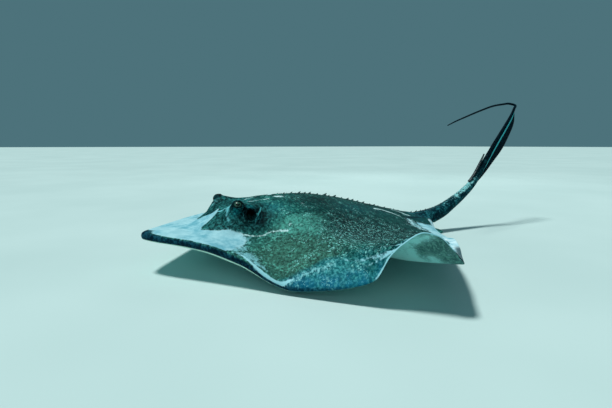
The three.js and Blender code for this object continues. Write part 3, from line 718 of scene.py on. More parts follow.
head = S(112, 128, u + 0.2 * (a - 50) * (a < 50)) * (1 - S(240, 275, u)) * (1 - S(98, 118, a))
head *= S(-4, 6, u - edge)
es_, el_, rs_ = spiracle_coords(u, z)
top_side = (z > R["mid"]).astype(float)
wall_ = S(55, 66, a) * (1 - S(112, 125, a)) * top_side
# painted shade: the inside of the spiracle's pit
in_hole = (1 - S(0.86, 1.04, rs_)) * wall_
lip_back = np.exp(-(smooth_poly(u, a, [(221, 93), (231, 84), (239, 77.5), (244, 71)]) / 1.7) ** 2) * S(0.98, 1.06, rs_) * wall_
lip_front = 0.8 * np.exp(-(smooth_poly(u, a, [(200, 77), (198, 83), (197, 91)]) / 1.9) ** 2) * wall_
lip_front += (0.85 * blob(u, a, 219, 70, 9, 3.6) + 0.45 * blob(u, a, 186, 74.5, 9, 3.6)) * S(0.98, 1.1, rs_) * top_side
pq = np.stack([u, a, z], -1) - EYE_C
r_e, d_e, x_e, y_e, f_e, e_e = lid_coords(np.stack([u, a, z], -1))
at_eye = (r_e < 24) * top_side
dark = 1.0 * blob(u, a, 206, 79, 34, 15, 0.0) + 0.9 * blob(u, a, 227, 84, 9, 13, -0.5) + 1.0 * (1 - S(14, 19, r_e)) + 0.7 * blob(u, a, 236, 84, 26, 14, 0.2) + 0.4 * blob(u, a, 150, 52, 26, 22, 0.5) + 0.5 * blob(u, a, 222, 101, 40, 8, 0.0) + 0.35 * blob(u, a, 195, 20, 26, 40, 0.0)
dark = np.clip(dark, 0, 1) * top_side
# painted highlight: pale arcs on the lower lid and above the upper lid
lid_highlight = np.exp(-((e_e - 1.55) / 0.13) ** 2) * S(-2.0, -4.0, y_e) * at_eye + 0.8 * np.exp(-((e_e - 2.1) / 0.18) ** 2) * S(2.0, 5.0, y_e) * at_eye
# painted highlight: the pale stroke on the ridge in front of each eye, fainter on the far side
brow_highlight_d = smooth_poly(u, a, [(182, 50), (177, 38), (171, 29), (164, 18)])
brow_highlight = (0.95 - 0.25 * bump(a, 38, 6)) * np.exp(-(brow_highlight_d / 3.6) ** 2) + 0.9 * blob(u, a, 175, 50, 7, 8, 0.0) + 0.6 * blob(u, a, 170, 60, 5, 6) + 0.7 * blob(u, a, 167, 73, 3.2, 5.5) + 0.4 * blob(u, a, 165, 64, 3.0, 5) + 0.55 * blob(u, a, 162, 86, 3.0, 6) + 0.35 * blob(u, a, 172, 84, 7, 4)
brow_highlight = brow_highlight * (0.35 + 0.65 * S(-8, 2, v)) + 0.6 * blob(u, v, 170, -46, 7, 5)
brow_highlight *= top_side
lid_dark = (1 - S(1.35, 1.70, e_e)) * at_eye
teal = np.clip(0.95 * blob(u, a, 186, 75, 11, 4.6) + 0.7 * blob(u, a, 219, 69, 12, 4.5) + 0.5 * blob(u, a, 172, 62, 7, 9) + 0.4 * blob(u, a, 235, 88, 8, 8), 0, 1) * (1 - in_hole) * (1 - lid_dark) * top_side
dark = np.maximum(dark, lid_dark)
teal_fold = blob(u, a, 262, 84, 15, 8, 0.3) * top_side
# pale marks on the back: streaks of sand, and a painted reflection, which is the large patch on the ridge near u 309
ridge_sand_and_highlight = (1.1 * blob(u, a, 309, 23, 17, 8, 0.5) + 0.8 * np.exp(-(smooth_poly(u, a, [(236, 13), (246, 22), (258, 25), (270, 28), (281, 32)]) / 2.8) ** 2) + 0.7 * blob(u, a, 345, 78, 4.5, 3.5)
               + 0.95 * np.exp(-(smooth_poly(u, a, [(572, 62), (600, 53), (633, 54), (660, 64)]) / 4.6) ** 2) + 0.95 * np.exp(-(smooth_poly(u, a, [(678, 10), (693, 20), (705, 36), (718, 43)]) / 4.2) ** 2)) * top_side

streak = np.exp(-(smooth_poly(u, a, [(180, 103), (188, 109.5), (198, 114), (210, 117), (226, 120.5), (241, 120), (256, 130), (273, 144.5)]) / 2.8) ** 2) * (0.95 - 0.30 * bump(u, 236, 6))
streak += 0.55 * np.exp(-(smooth_poly(u, a, [(168, 131), (190, 124), (214, 125)]) / 2.2) ** 2) + 0.7 * blob(u, a, 284, 136, 9, 4, 0.5) + 0.6 * blob(u, a, 300, 150, 12, 3, 0.6)
glow = 0.95 * blob(u, a, 300, 143, 56, 27, 0.35) + 0.6 * blob(u, a, 358, 138, 42, 26, 0.1) + 0.55 * blob(u, a, 320, 190, 36, 22, 0.2) + 0.45 * blob(u, a, 262, 86, 24, 18)
fan1 = smooth_poly(u, a, [(331, 428), (324, 400), (320, 372), (312, 338), (303, 312), (300, 285)])
fan2 = smooth_poly(u, a, [(327, 416), (319, 394), (315, 377), (305, 352)])
fan3 = smooth_poly(u, a, [(336, 432), (335, 400), (331, 360), (322, 322)])
fan4 = smooth_poly(u, a, [(342, 440), (346, 400), (347, 366)])
away = 1 - S(0, 150, 430 - a)
fans = np.exp(-(fan1 / (1.3 + 3.6 * (1 - away))) ** 2) * (0.42 + 0.42 * away) + 0.85 * np.exp(-(fan2 / 1.5) ** 2) * away + 0.8 * np.exp(-(fan3 / 1.6) ** 2) * away + 0.6 * np.exp(-(fan4 / 1.6) ** 2) * away
front_of = through([(255, 214), (268, 236), (279, 270), (297, 303), (315, 313), (336, 319), (372, 322), (400, 327), (423, 333), (460, 345)])
blue = S(-20, 20, front_of(a) - u + wob * 1.1) * S(252, 266, a) * (u < 372)
feathers = np.exp(-(smooth_poly(u, a, [(212, 270), (240, 279), (259, 290), (282, 304)]) / 13.0) ** 2)
specks = np.clip(blob(u, a, 385, 250, 85, 70, 0.2) + 0.8 * blob(u, a, 342, 330, 26, 80) + 0.4 * blob(u, a, 470, 220, 80, 60, -0.5), 0, 1)
olive = np.clip(blob(u, a, 240, 205, 95, 80, 0.25) * 1.2 + 0.6 * blob(u, a, 290, 255, 60, 45, 0.4), 0, 1) * (1 - blue)
lighter = 0.9 * blob(u, a, 480, 92, 46, 30, 0.0) + 0.5 * blob(u, a, 560, 70, 60, 26) + 0.9 * blob(u, a, 268, 80, 32, 24)
deep = np.clip(blob(u, a, 440, 190, 92, 86, 0.25) + 0.8 * blob(u, a, 345, 60, 46, 30) + 0.7 * blob(u, a, 545, 205, 40, 55, -0.5) + 0.45 * blob(u, a, 390, 240, 40, 90), 0, 1)

back_rim = S(405, 440, u)
band_back = smooth_poly(u, a, [(684, 76), (676, 98), (658, 129), (645, 158), (634, 182)])
pale_back = 0.95 * np.exp(-(band_back / 15.0) ** 2) + 0.42 * blob(u, a, 628, 120, 50, 34, -0.6) + 0.40 * blob(u, a, 560, 215, 40, 40, -0.6)
pale_back = np.clip(pale_back, 0, 1) * top_side
ROOT = through([(60, 716), (75, 704), (100, 690), (129, 670), (160, 655), (180, 646), (230, 610), (260, 590)])
root_dust = S(-8, 10, u - ROOT(a) + 0.5 * wob) * S(84, 104, a + 0.4 * wob) * S(560, 600, u) * top_side
dust = np.maximum(dust, 0.9 * root_dust)
chevron = np.clip(blob(u, a, 735, 55, 34, 22), 0, 1) * top_side
hem = (1 - S(10, 26, from_rim + 0.7 * wob)) * back_rim * (1 - S(790, 830, u))
hem_left = hem * S(0, 40, v)
hem = np.maximum(hem * 0.8, hem_left)
# painted shade in the groove between the tail root and the fin
groove_shade = np.exp(-(smooth_poly(u, a, [(690, 62), (735, 48), (800, 22)]) / 7.0) ** 2) * top_side
tip_spots = (blob(u, a, 470, 402, 9, 5, -0.8) + blob(u, a, 498, 372, 12, 5, -0.8) + 0.7 * blob(u, a, 523, 348, 8, 5, -0.8)) * top_side

rim_dark = (1 - S(rim_top - 1.5, rim_top + 1.5, from_rim)) * (1 - S(196, 240, u)) * (1 - under_disc)
side_face = (1 - S(0.25, 0.75, height)) * (1 - under_disc) * (1 - S(255, 300, u)) * (1 - S(9, 14, from_rim))
rim_dark = np.maximum(rim_dark, side_face * (1 - 0.35 * S(210, 250, u)))
rim_dark = np.maximum(rim_dark, (1 - S(17, 32, u + 0.45 * a)) * (1 - under_disc))
LINE_IN = through([(140, 17), (148, 13), (154, 9.5), (161, 6.6), (168, 3.8), (176, 2.0), (183, 1.0), (190, 0.4), (196, 0.2), (201, 0.9), (207, 3.6), (213, 7.0), (222, 12), (230, 17)])
rim_line = np.exp(-((from_rim - LINE_IN(u)) / (2.2 + 1.8 * (1 - S(165, 190, u)))) ** 2) * S(142, 158, u) * (1 - S(213, 227, u)) * S(-0.15, 0.25, height) * (1 - under_disc)
tip_dark = (1 - S(5, 12, from_rim)) * S(384, 400, u) * (1 - S(474, 500, u)) * S(380, 420, v)
rim_thin = (1 - 0.8 * tip_dark) * np.exp(-((from_rim - 0.4) / 1.25) ** 2) * S(303, 314, u) * (1 - S(800, 830, u)) * (1 - 0.4 * S(372, 400, u))
white_tip = np.clip(1 - np.hypot(u - 20, (a - 12) / 1.2) / 9, 0, 1) * (1 - under_disc) * 0.5

u_margin = np.clip((1 - S(18, 78, from_rim + 1.2 * wob)) * S(350, 374, u), 0, 1)
u_margin = np.maximum(u_margin, 0.55 * (1 - S(6, 15, from_rim)) * S(100, 200, u))
u_margin *= 1 - 0.25 * blob(u, a, 620, 230, 110, 60)
gill_line = np.zeros_like(u)
for k in range(5):
    gu, gv = 212 + 24 * k, 92 - 6.5 * k
    x = a - gv
    gill_line += bump(u - gu - (0.20 + 0.05 * k) * x + 0.02 * x * x, 0, 2.4) * (1 - S(9, 13, np.abs(x)))
mouth_line = bump(u, 154 - 0.006 * a * a, 3.4) * (1 - S(30, 35, a)) + 0.7 * np.clip(1 - np.hypot((u - 131) / 7.5, (a - 30) / 8.5), 0, 1) + 0.8 * bump(v, 0, 2.6) * S(742, 748, u) * (1 - S(768, 776, u))
orifice = np.clip(gill_line * 0.6 + mouth_line, 0, 1) * under_disc * part_disc

arc = TARC[tn]
tail_dark = R["tail"] * (0.22 + 0.78 * S(230, 560, arc)) + R["fold"] + 0.22 * (1 - R["tail"]) * (1 - R["fold"]) * (1 - R["lobe"]) * S(715, 775, u) * (1 - S(26, 52, a))
# painted highlight: the upper side of the tail paler along its middle
tail_top_highlight = R["tail"] * np.clip(S(0.15, 0.8, R["b"] / np.maximum(TB[tn], 0.1)) * bump(arc, 310, 120), 0, 1)
q_fold = np.clip((R["row"] - FOLD_FROM) / (FOLD_TO - FOLD_FROM), 0, 1)
fold_line = (np.exp(-((R["b"] + TB[tn] + 0.06 * fold_depth(q_fold)) / (0.9 + 0.115 * fold_depth(q_fold))) ** 2)) * (R["row"] > FOLD_FROM) * (R["row"] < FOLD_TO + 0.1) * np.clip(R["fold"] + R["tail"], 0, 1) * (z > 90)
fold_depth_at = np.clip(-(R["b"] + TB[tn]) / np.maximum(fold_depth(q_fold), 1), 0, 1) * R["fold"]

fan_angle = np.arctan2(u - 395.0, a + 30.0)
on_top = part_disc * (1 - under_disc)
MASKS = {
    "m_dust": dust * on_top, "m_wisp": np.clip(wisps, 0, 1) * on_top, "m_head": head * on_top, "m_dark": dark * on_top, "m_hole_shade": in_hole * on_top,
    "m_lip": np.clip(lip_back + 0.55 * lip_front + 0.5 * lid_highlight + 0.5 * teal_fold, 0, 1) * on_top,
    "m_brow_highlight": np.clip(brow_highlight, 0, 1) * on_top, "m_streak": np.clip(streak + ridge_sand_and_highlight * 1.1, 0, 1) * on_top, "m_glow": np.clip(glow, 0, 1) * on_top,
    "m_fan": np.clip(fans, 0, 1) * on_top, "m_blue": blue * on_top, "m_olive": olive * on_top, "m_light": np.clip(lighter, 0, 1) * on_top,
    "m_deep": deep * on_top, "m_pale": pale_back * on_top, "m_hem": np.clip(hem, 0, 1) * on_top, "m_line": np.clip(groove_shade + tip_spots + tip_dark, 0, 1) * on_top,
    "m_rim": np.clip(rim_dark, 0, 1) * part_disc, "m_rimline": np.clip(rim_line + 0.95 * rim_thin + white_tip, 0, 1) * part_disc, "m_speck": specks * on_top, "m_feather": np.clip(feathers, 0, 1) * on_top,
    "m_under": np.clip(under, 0, 1), "m_umargin": u_margin, "m_orifice": orifice, "m_tail": np.clip(tail_dark, 0, 1), "m_tail_top_highlight": tail_top_highlight,
    "m_foldline": np.clip(fold_line, 0, 1), "m_foldedge": fold_depth_at, "m_ray": fan_angle,
    "m_out": np.clip(a / np.maximum(vm, 1), 0, 1), "m_lobe": R["lobe"], "m_low": (1 - S(5, 34, from_rim)) * blue * on_top, "m_chevron": chevron * on_top, "m_rear_shade": (0.18 * S(230, 300, u) + 0.82 * S(290, 400, u)) * (1 - blue) * on_top, "m_teal": teal * on_top, "m_front_edge_highlight": (1 - S(5, 9, from_rim)) * (1 - S(200, 225, u)),
}
for name, val in MASKS.items():
    attribute(me, name, val)


# ------------------------------------------------------------------ node helpers
def lin(r, g, b):
    f = lambda c: (c / 255) / 12.92 if c / 255 <= 0.04045 else ((c / 255 + 0.055) / 1.055) ** 2.4
    return (f(r), f(g), f(b), 1.0)


class Nodes:
    def __init__(self, name):
        self.mat = bpy.data.materials.new(name)
        self.mat.use_nodes = True
        self.t = self.mat.node_tree
        self.t.nodes.clear()
        self.out = self.t.nodes.new("ShaderNodeOutputMaterial")
        self.p = self.t.nodes.new("ShaderNodeBsdfPrincipled")
        self.t.links.new(self.p.outputs[0], self.out.inputs["Surface"])
        self.obj = self.t.nodes.new("ShaderNodeTexCoord").outputs["Object"]

    def link(self, a, b):
        if isinstance(a, (int, float)):
            b.default_value = a
        elif isinstance(a, tuple):
            b.default_value = a if len(b.default_value) == len(a) else a[:len(b.default_value)]
        else:
            self.t.links.new(a, b)

    def attr(self, name):
        n = self.t.nodes.new("ShaderNodeAttribute"); n.attribute_name = name
        return n.outputs["Fac"]

    def math(self, op, a, b=0.0, clamp=False):
        n = self.t.nodes.new("ShaderNodeMath"); n.operation = op; n.use_clamp = clamp
        self.link(a, n.inputs[0]); self.link(b, n.inputs[1])
        return n.outputs[0]

    def mul(self, a, b): return self.math("MULTIPLY", a, b)
    def add(self, a, b): return self.math("ADD", a, b)
    def sub(self, a, b): return self.math("SUBTRACT", a, b)

    def smooth(self, x, lo, hi, a=0.0, b=1.0):
        n = self.t.nodes.new("ShaderNodeMapRange"); n.interpolation_type = "SMOOTHSTEP"
        self.link(x, n.inputs["Value"])
        for k_, v_ in (("From Min", lo), ("From Max", hi), ("To Min", a), ("To Max", b)):
            n.inputs[k_].default_value = v_
        return n.outputs["Result"]

    def mix(self, a, b, f, kind="MIX"):
        n = self.t.nodes.new("ShaderNodeMix"); n.data_type = "RGBA"; n.blend_type = kind
        self.link(f, n.inputs["Factor"]); self.link(a, n.inputs[6]); self.link(b, n.inputs[7])
        return n.outputs[2]

    def noise(self, scale, detail=3.0, rough=0.55, vec=None, dist=0.0):
        n = self.t.nodes.new("ShaderNodeTexNoise")
        n.inputs["Scale"].default_value, n.inputs["Detail"].default_value, n.inputs["Roughness"].default_value = scale, detail, rough
        n.inputs["Distortion"].default_value = dist
        self.link(vec or self.obj, n.inputs["Vector"])
        return n.outputs["Fac"]

    def voronoi(self, scale, vec=None, feature="F1", out="Distance", rand=1.0):
        n = self.t.nodes.new("ShaderNodeTexVoronoi"); n.feature = feature
        n.inputs["Scale"].default_value = scale; n.inputs["Randomness"].default_value = rand
        self.link(vec or self.obj, n.inputs["Vector"])
        return n.outputs[out]

    def scaled(self, sx, sy, sz, turn=0.0, vec=None):
        n = self.t.nodes.new("ShaderNodeMapping")
        n.inputs["Scale"].default_value = (sx, sy, sz); n.inputs["Rotation"].default_value = (0, 0, turn)
        self.link(vec or self.obj, n.inputs["Vector"])
        return n.outputs[0]

    def vec(self, x, y, z_):
        n = self.t.nodes.new("ShaderNodeCombineXYZ")
        self.link(x, n.inputs[0]); self.link(y, n.inputs[1]); self.link(z_, n.inputs[2])
        return n.outputs[0]

    def bump(self, h, dist, strength=1.0, normal=None):
        n = self.t.nodes.new("ShaderNodeBump")
        n.inputs["Strength"].default_value, n.inputs["Distance"].default_value = strength, dist
        self.link(h, n.inputs["Height"])
        if normal:
            self.link(normal, n.inputs["Normal"])
        return n.outputs[0]

    def finish(self, colour, rough, normal=None, metallic=0.0, specular=0.5, coat=0.0, coat_rough=0.2):
        self.link(colour, self.p.inputs["Base Color"]); self.link(rough, self.p.inputs["Roughness"])
        self.p.inputs["Metallic"].default_value = metallic
        self.p.inputs["Specular IOR Level"].default_value = specular
        self.p.inputs["Coat Weight"].default_value = coat
        self.p.inputs["Coat Roughness"].default_value = coat_rough
        if normal:
            self.link(normal, self.p.inputs["Normal"])
        return self.mat


def skin_material():
    m = Nodes("skin_hide")
    A_ = m.attr
    n_slow = m.noise(8.0, 2.0)
    n_mid = m.noise(46.0, 4.0, 0.62)
    n_fine = m.noise(175.0, 4.0, 0.66, dist=0.25)
    n_grit = m.noise(460.0, 2.0, 0.6)
    cells = m.voronoi(210.0)
    cells2 = m.voronoi(330.0)
    out = A_("m_out")
    # streaks that follow the fin's rays
    rays = m.noise(1.0, 3.0, 0.6, m.vec(m.mul(A_("m_ray"), 34.0), m.mul(out, 7.0), 0.0))
    ray_fine = m.noise(1.0, 2.0, 0.6, m.vec(m.mul(A_("m_ray"), 105.0), m.mul(out, 24.0), 0.0))
    fine0, mid0 = m.sub(n_fine, 0.5), m.sub(n_mid, 0.5)
    broken = m.add(m.mul(fine0, 2.1), m.mul(mid0, 1.5))

    base = m.mix(lin(8, 58, 58), lin(26, 104, 100), m.smooth(m.add(n_slow, m.mul(mid0, 0.5)), 0.33, 0.68))
    base = m.mix(base, lin(58, 106, 92), m.mul(A_("m_olive"), 0.85))
    base = m.mix(base, lin(84, 172, 158), m.mul(m.smooth(m.add(A_("m_glow"), m.mul(broken, 0.35)), 0.12, 0.95), 0.80))
    base = m.mix(base, lin(40, 128, 136), m.mul(A_("m_light"), 0.78))
    base = m.mix(base, lin(6, 48, 50), m.mul(A_("m_deep"), 0.80))
    blue_tone = m.mix(lin(14, 92, 100), lin(62, 150, 152), m.smooth(m.add(m.mul(ray_fine, 0.3), m.mul(n_fine, 0.7)), 0.40, 0.64))
    blue_tone = m.mix(blue_tone, lin(36, 102, 108), m.mul(m.smooth(n_mid, 0.42, 0.66), 0.55))
    blue_tone = m.mix(blue_tone, lin(12, 102, 132), m.mul(A_("m_low"), m.smooth(n_mid, 0.34, 0.62, 0.12, 0.85)))
    base = m.mix(base, blue_tone, A_("m_blue"))
    calm = m.sub(1.0, m.mul(A_("m_blue"), 0.62))
    # mottling, the size of a grain of rice and smaller
    base = m.mix(base, m.mix(lin(5, 26, 27), base, 0.22), m.mul(m.mul(m.smooth(n_fine, 0.50, 0.39), 0.78), calm))
    speck_tone = m.mix(lin(98, 196, 178), lin(104, 190, 198), A_("m_blue"))
    base = m.mix(base, m.mix(speck_tone, base, 0.40), m.mul(m.mul(m.smooth(n_fine, 0.52, 0.63), m.smooth(n_mid, 0.30, 0.56)), m.mul(m.sub(1.0, m.mul(A_("m_blue"), 0.35)), 0.90)))
    base = m.mix(base, lin(9, 44, 44), m.mul(m.mul(m.smooth(rays, 0.50, 0.34), m.mul(out, 0.45)), calm))
    base = m.mix(base, lin(86, 166, 162), m.mul(m.mul(m.smooth(ray_fine, 0.58, 0.76), m.mul(m.smooth(out, 0.25, 0.8), 0.42)), calm))
    base = m.mix(base, lin(30, 104, 120), m.mul(A_("m_chevron"), m.smooth(m.add(rays, fine0), 0.42, 0.62, 0.2, 0.9)))
    # painted shade darkening the back towards the rear, and coarser grain on the back behind the shoulder
    n_big = m.noise(124.0, 4.0, 0.74)
    rear = m.smooth(m.add(A_("m_deep"), A_("m_speck")), 0.10, 0.75)
    base = m.mix(base, lin(2, 26, 30), m.mul(A_("m_rear_shade"), 0.58))
    base = m.mix(base, m.mix(lin(2, 26, 28), base, 0.25), m.mul(m.smooth(n_big, 0.50, 0.38), m.mul(rear, 0.75)))
    base = m.mix(base, lin(62, 150, 148), m.mul(m.smooth(n_big, 0.57, 0.68), m.mul(rear, 0.54)))
    cells3 = m.voronoi(150.0)
    big_grains = m.mul(m.smooth(cells3, 0.34, 0.18), m.smooth(m.add(n_mid, m.add(m.mul(A_("m_speck"), 0.16), m.mul(A_("m_deep"), 0.05))), 0.55, 0.66))
    base = m.mix(base, lin(130, 210, 206), m.mul(big_grains, 0.78))
    # scattered pale grains of sand, thickest towards the turned-up wing
    grains = m.mul(m.smooth(cells2, 0.30, 0.14), m.smooth(m.add(n_mid, m.add(m.mul(A_("m_speck"), 0.24), m.mul(A_("m_deep"), 0.08))), 0.52, 0.66))
    base = m.mix(base, lin(156, 228, 222), m.mul(grains, 0.80))
    grains2 = m.mul(m.smooth(cells, 0.30, 0.14), m.mul(m.smooth(m.noise(88.0, 2.0), 0.50, 0.60), A_("m_speck")))
    base = m.mix(base, lin(124, 208, 200), m.mul(grains2, 0.85))

    # head
    head_tone = m.mix(lin(5, 40, 42), lin(52, 132, 132), m.smooth(m.add(n_fine, m.mul(mid0, 0.6)), 0.38, 0.68))
    base = m.mix(base, head_tone, m.mul(A_("m_head"), 0.85))
    base = m.mix(base, m.mix(lin(0, 12, 16), lin(6, 44, 50), m.smooth(m.add(n_fine, m.mul(mid0, 0.6)), 0.42, 0.68)), m.mul(A_("m_dark"), 0.94))
    # pale lips and folds round the spiracle, with the painted highlight arcs on the eyelids
    base = m.mix(base, lin(74, 164, 168), m.mul(m.smooth(m.add(A_("m_lip"), m.mul(broken, 0.35)), 0.20, 1.0), 0.88))
    # painted highlight on the ridge in front of the eyes
    brow_highlight = m.smooth(m.add(A_("m_brow_highlight"), m.mul(broken, 0.42)), 0.26, 1.02)
    base = m.mix(base, m.mix(lin(10, 84, 94), lin(34, 138, 140), m.smooth(n_fine, 0.40, 0.64)), m.mul(m.smooth(m.add(A_("m_teal"), m.mul(broken, 0.3)), 0.1, 0.9), 0.85))
    base = m.mix(base, lin(118, 204, 212), m.mul(brow_highlight, 0.86))

    # back: broken pale patches; dark marks, which are dark spots and a dark edge at the wing tip and painted shade in
    # the groove beside the tail root; hem
    pale = m.smooth(m.add(A_("m_pale"), m.add(m.mul(fine0, 2.0), m.add(m.mul(mid0, 1.0), m.mul(m.sub(ray_fine, 0.5), 0.9)))), 0.60, 1.06)
    base = m.mix(base, m.mix(lin(92, 170, 178), lin(190, 230, 236), m.smooth(n_fine, 0.42, 0.62)), m.mul(pale, 0.88))
    base = m.mix(base, lin(6, 38, 46), m.mul(m.smooth(m.add(A_("m_line"), m.mul(mid0, 0.8)), 0.25, 0.8), 0.85))
    hem = m.smooth(m.add(A_("m_hem"), m.mul(broken, 0.30)), 0.30, 0.76)
    base = m.mix(base, m.mix(lin(110, 182, 198), lin(200, 234, 240), m.smooth(n_mid, 0.36, 0.62)), m.mul(hem, m.sub(1.0, m.mul(A_("m_line"), 0.85))))

    # streaks and wisps of sand, and the painted reflection on the ridge of the back
    st = m.smooth(m.add(A_("m_streak"), m.add(m.mul(broken, 0.70), m.mul(m.sub(ray_fine, 0.5), 0.7))), 0.46, 1.02)
    base = m.mix(base, lin(196, 234, 236), m.mul(st, 0.93))
    wi = m.smooth(m.add(A_("m_wisp"), m.add(m.mul(m.sub(rays, 0.5), 1.5), m.mul(fine0, 1.5))), 0.42, 0.98)
    base = m.mix(base, lin(132, 200, 210), m.mul(wi, 0.80))
    fe = m.smooth(m.add(m.mul(A_("m_feather"), 0.75), m.add(m.mul(m.sub(ray_fine, 0.5), 1.7), m.mul(fine0, 0.9))), 0.54, 1.0)
    base = m.mix(base, lin(138, 208, 214), m.mul(fe, 0.64))
    fa = m.smooth(m.add(A_("m_fan"), m.add(m.mul(m.sub(ray_fine, 0.5), 0.8), m.mul(fine0, 1.1))), 0.42, 0.86)
    base = m.mix(base, lin(158, 220, 232), m.mul(fa, 0.85))

    # the smooth veil of sand in front
    veil = m.mix(lin(104, 172, 188), lin(154, 208, 218), m.smooth(n_mid, 0.34, 0.66))
    veil = m.mix(veil, lin(176, 220, 226), m.mul(m.smooth(n_slow, 0.45, 0.62), 0.5))
    veil = m.mix(veil, lin(84, 150, 162), m.mul(m.smooth(n_fine, 0.58, 0.72), 0.22))
    du = m.smooth(m.add(A_("m_dust"), m.add(m.mul(broken, 0.46), m.mul(m.mul(m.sub(rays, 0.5), 0.9), m.smooth(A_("m_out"), 0.45, 0.6)))), 0.30, 0.78)
    base = m.mix(base, veil, du)

    # margin
    rim = m.mix(lin(3, 30, 46), lin(22, 76, 94), m.smooth(m.add(n_fine, m.mul(mid0, 0.5)), 0.42, 0.66))
    base = m.mix(base, rim, m.mul(A_("m_rim"), 0.97))
    base = m.mix(base, lin(160, 222, 232), m.mul(m.smooth(m.add(A_("m_rimline"), m.add(m.mul(broken, 0.30), m.mul(m.sub(ray_fine, 0.5), 0.35))), 0.28, 0.74), 0.92))

    # pit of the spiracle: painted shade, near black inside the hole
    base = m.mix(base, lin(0, 5, 7), A_("m_hole_shade"))

    # tail
    tail_tone = m.mix(lin(4, 40, 50), lin(40, 112, 120), m.smooth(m.add(n_fine, m.mul(mid0, 0.8)), 0.44, 0.68))
    tail_far = m.mix(lin(1, 16, 25), lin(6, 44, 58), m.smooth(n_fine, 0.46, 0.70))
    base = m.mix(base, tail_tone, m.smooth(A_("m_tail"), 0.0, 0.2))
    # painted highlight along the upper side of the tail, broken up by the mottling
    base = m.mix(base, lin(140, 214, 216), m.mul(m.smooth(m.add(A_("m_tail_top_highlight"), m.mul(broken, 1.0)), 0.66, 1.14), 0.9))
    base = m.mix(base, tail_far, m.smooth(A_("m_tail"), 0.42, 0.92))
    base = m.mix(base, lin(82, 204, 210), m.mul(m.smooth(m.add(A_("m_foldline"), m.mul(mid0, 0.35)), 0.30, 0.85), 0.88))

    # under side: its white toned down to a pale teal grey, painted shade of the side turned from the light
    belly = m.mix(lin(140, 208, 204), lin(168, 228, 222), m.smooth(n_slow, 0.36, 0.66))
    # paler band on the white under side just behind the front margin: painted highlight on its edge
    belly = m.mix(belly, lin(196, 232, 216), A_("m_front_edge_highlight"))
    belly = m.mix(belly, lin(92, 168, 164), m.mul(m.smooth(n_mid, 0.50, 0.72), 0.40))
    mott = m.smooth(m.add(A_("m_umargin"), m.add(m.mul(mid0, 0.9), m.mul(fine0, 1.6))), 0.24, 1.00)
    belly = m.mix(belly, m.mix(lin(24, 66, 64), lin(84, 138, 128), m.smooth(n_fine, 0.42, 0.64)), m.mul(mott, 0.90))
    belly = m.mix(belly, lin(66, 108, 100), m.mul(m.smooth(cells, 0.18, 0.08), m.mul(A_("m_umargin"), 0.6)))
    belly = m.mix(belly, lin(52, 74, 72), m.mul(A_("m_orifice"), 0.85))
    base = m.mix(base, belly, m.smooth(A_("m_under"), 0.25, 0.75))

    rough = m.smooth(n_fine, 0.3, 0.7, 0.50, 0.68)
    rough = m.add(rough, m.mul(du, 0.14))
    h = m.add(m.mul(n_fine, 0.7), m.mul(n_grit, 0.35))
    nb = m.bump(h, 0.0012, 0.6)
    nb = m.bump(m.smooth(cells, 0.0, 0.5), 0.0007, 0.35, nb)
    return m.finish(base, rough, nb, specular=0.02)


hide = skin_material()
skin.data.materials.clear()
skin.data.materials.append(hide)
skin.data.polygons.foreach_set("use_smooth", np.ones(len(skin.data.polygons), bool))
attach(skin, "root")
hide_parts("head", "trunk", "pectoral_fin_left", "pectoral_fin_right", "pelvic_fin_left", "pelvic_fin_right",
            "tail_base", "tail_mid", "tail_upper", "tail_whip", "tail_fold")


# ------------------------------------------------------------------ eyes
def eye_mesh(s):
    c = EYE_C * [1, s, 1]
    ax = EYE_AXIS * [1, s, 1]
    up = ref * [1, s, 1]
    fw = np.cross(up, ax); fw /= np.linalg.norm(fw)
    if fw[0] > 0:
        fw = -fw                                            # towards the snout
    n, mseg = 96, 72
    th = np.linspace(0, math.pi, mseg + 1)[1:-1]
    rows, cols = [], []
    for t in th:
        r = EYE_R
        x = r * math.sin(t)
        d = r * math.cos(t) + (0.9 * math.exp(-(x / 7.0) ** 2) if t < 1.3 else 0)
        ph = 2 * math.pi * np.arange(n) / n
        rows.append(c + d * ax + np.outer(x * np.cos(ph), fw) + np.outer(x * np.sin(ph), up))
        cols.append(np.stack([x * np.cos(ph), x * np.sin(ph), np.full(n, d)], -1))
    P_, F_ = tube(np.array(rows))
    local = np.concatenate([np.concatenate(cols), [[0, 0, EYE_R + 0.9], [0, 0, -EYE_R]]])
    return P_, F_, local


def eye_material():
    m = Nodes("eye_wet")
    A_ = m.attr
    iris = m.mix(lin(20, 60, 52), lin(72, 116, 98), m.smooth(m.noise(1.0, 3.0, 0.6, m.vec(m.mul(A_("e_ang"), 6.0), m.mul(A_("e_rad"), 1.6), 0.0)), 0.36, 0.66))
    iris = m.mix(iris, lin(84, 122, 96), m.mul(m.smooth(A_("e_ring"), 0.3, 0.9), 0.22))
    white = m.mix(lin(4, 22, 26), lin(16, 48, 50), m.smooth(m.noise(420.0, 3.0), 0.4, 0.65))
    col = m.mix(white, iris, A_("e_iris"))
    col = m.mix(col, lin(1, 3, 4), A_("e_pupil"))
    return m.finish(col, m.smooth(m.noise(300.0, 2.0), 0.3, 0.7, 0.20, 0.28), m.bump(m.noise(260.0, 2.0), 0.0002, 0.3), specular=0.25, coat=0.10, coat_rough=0.16)


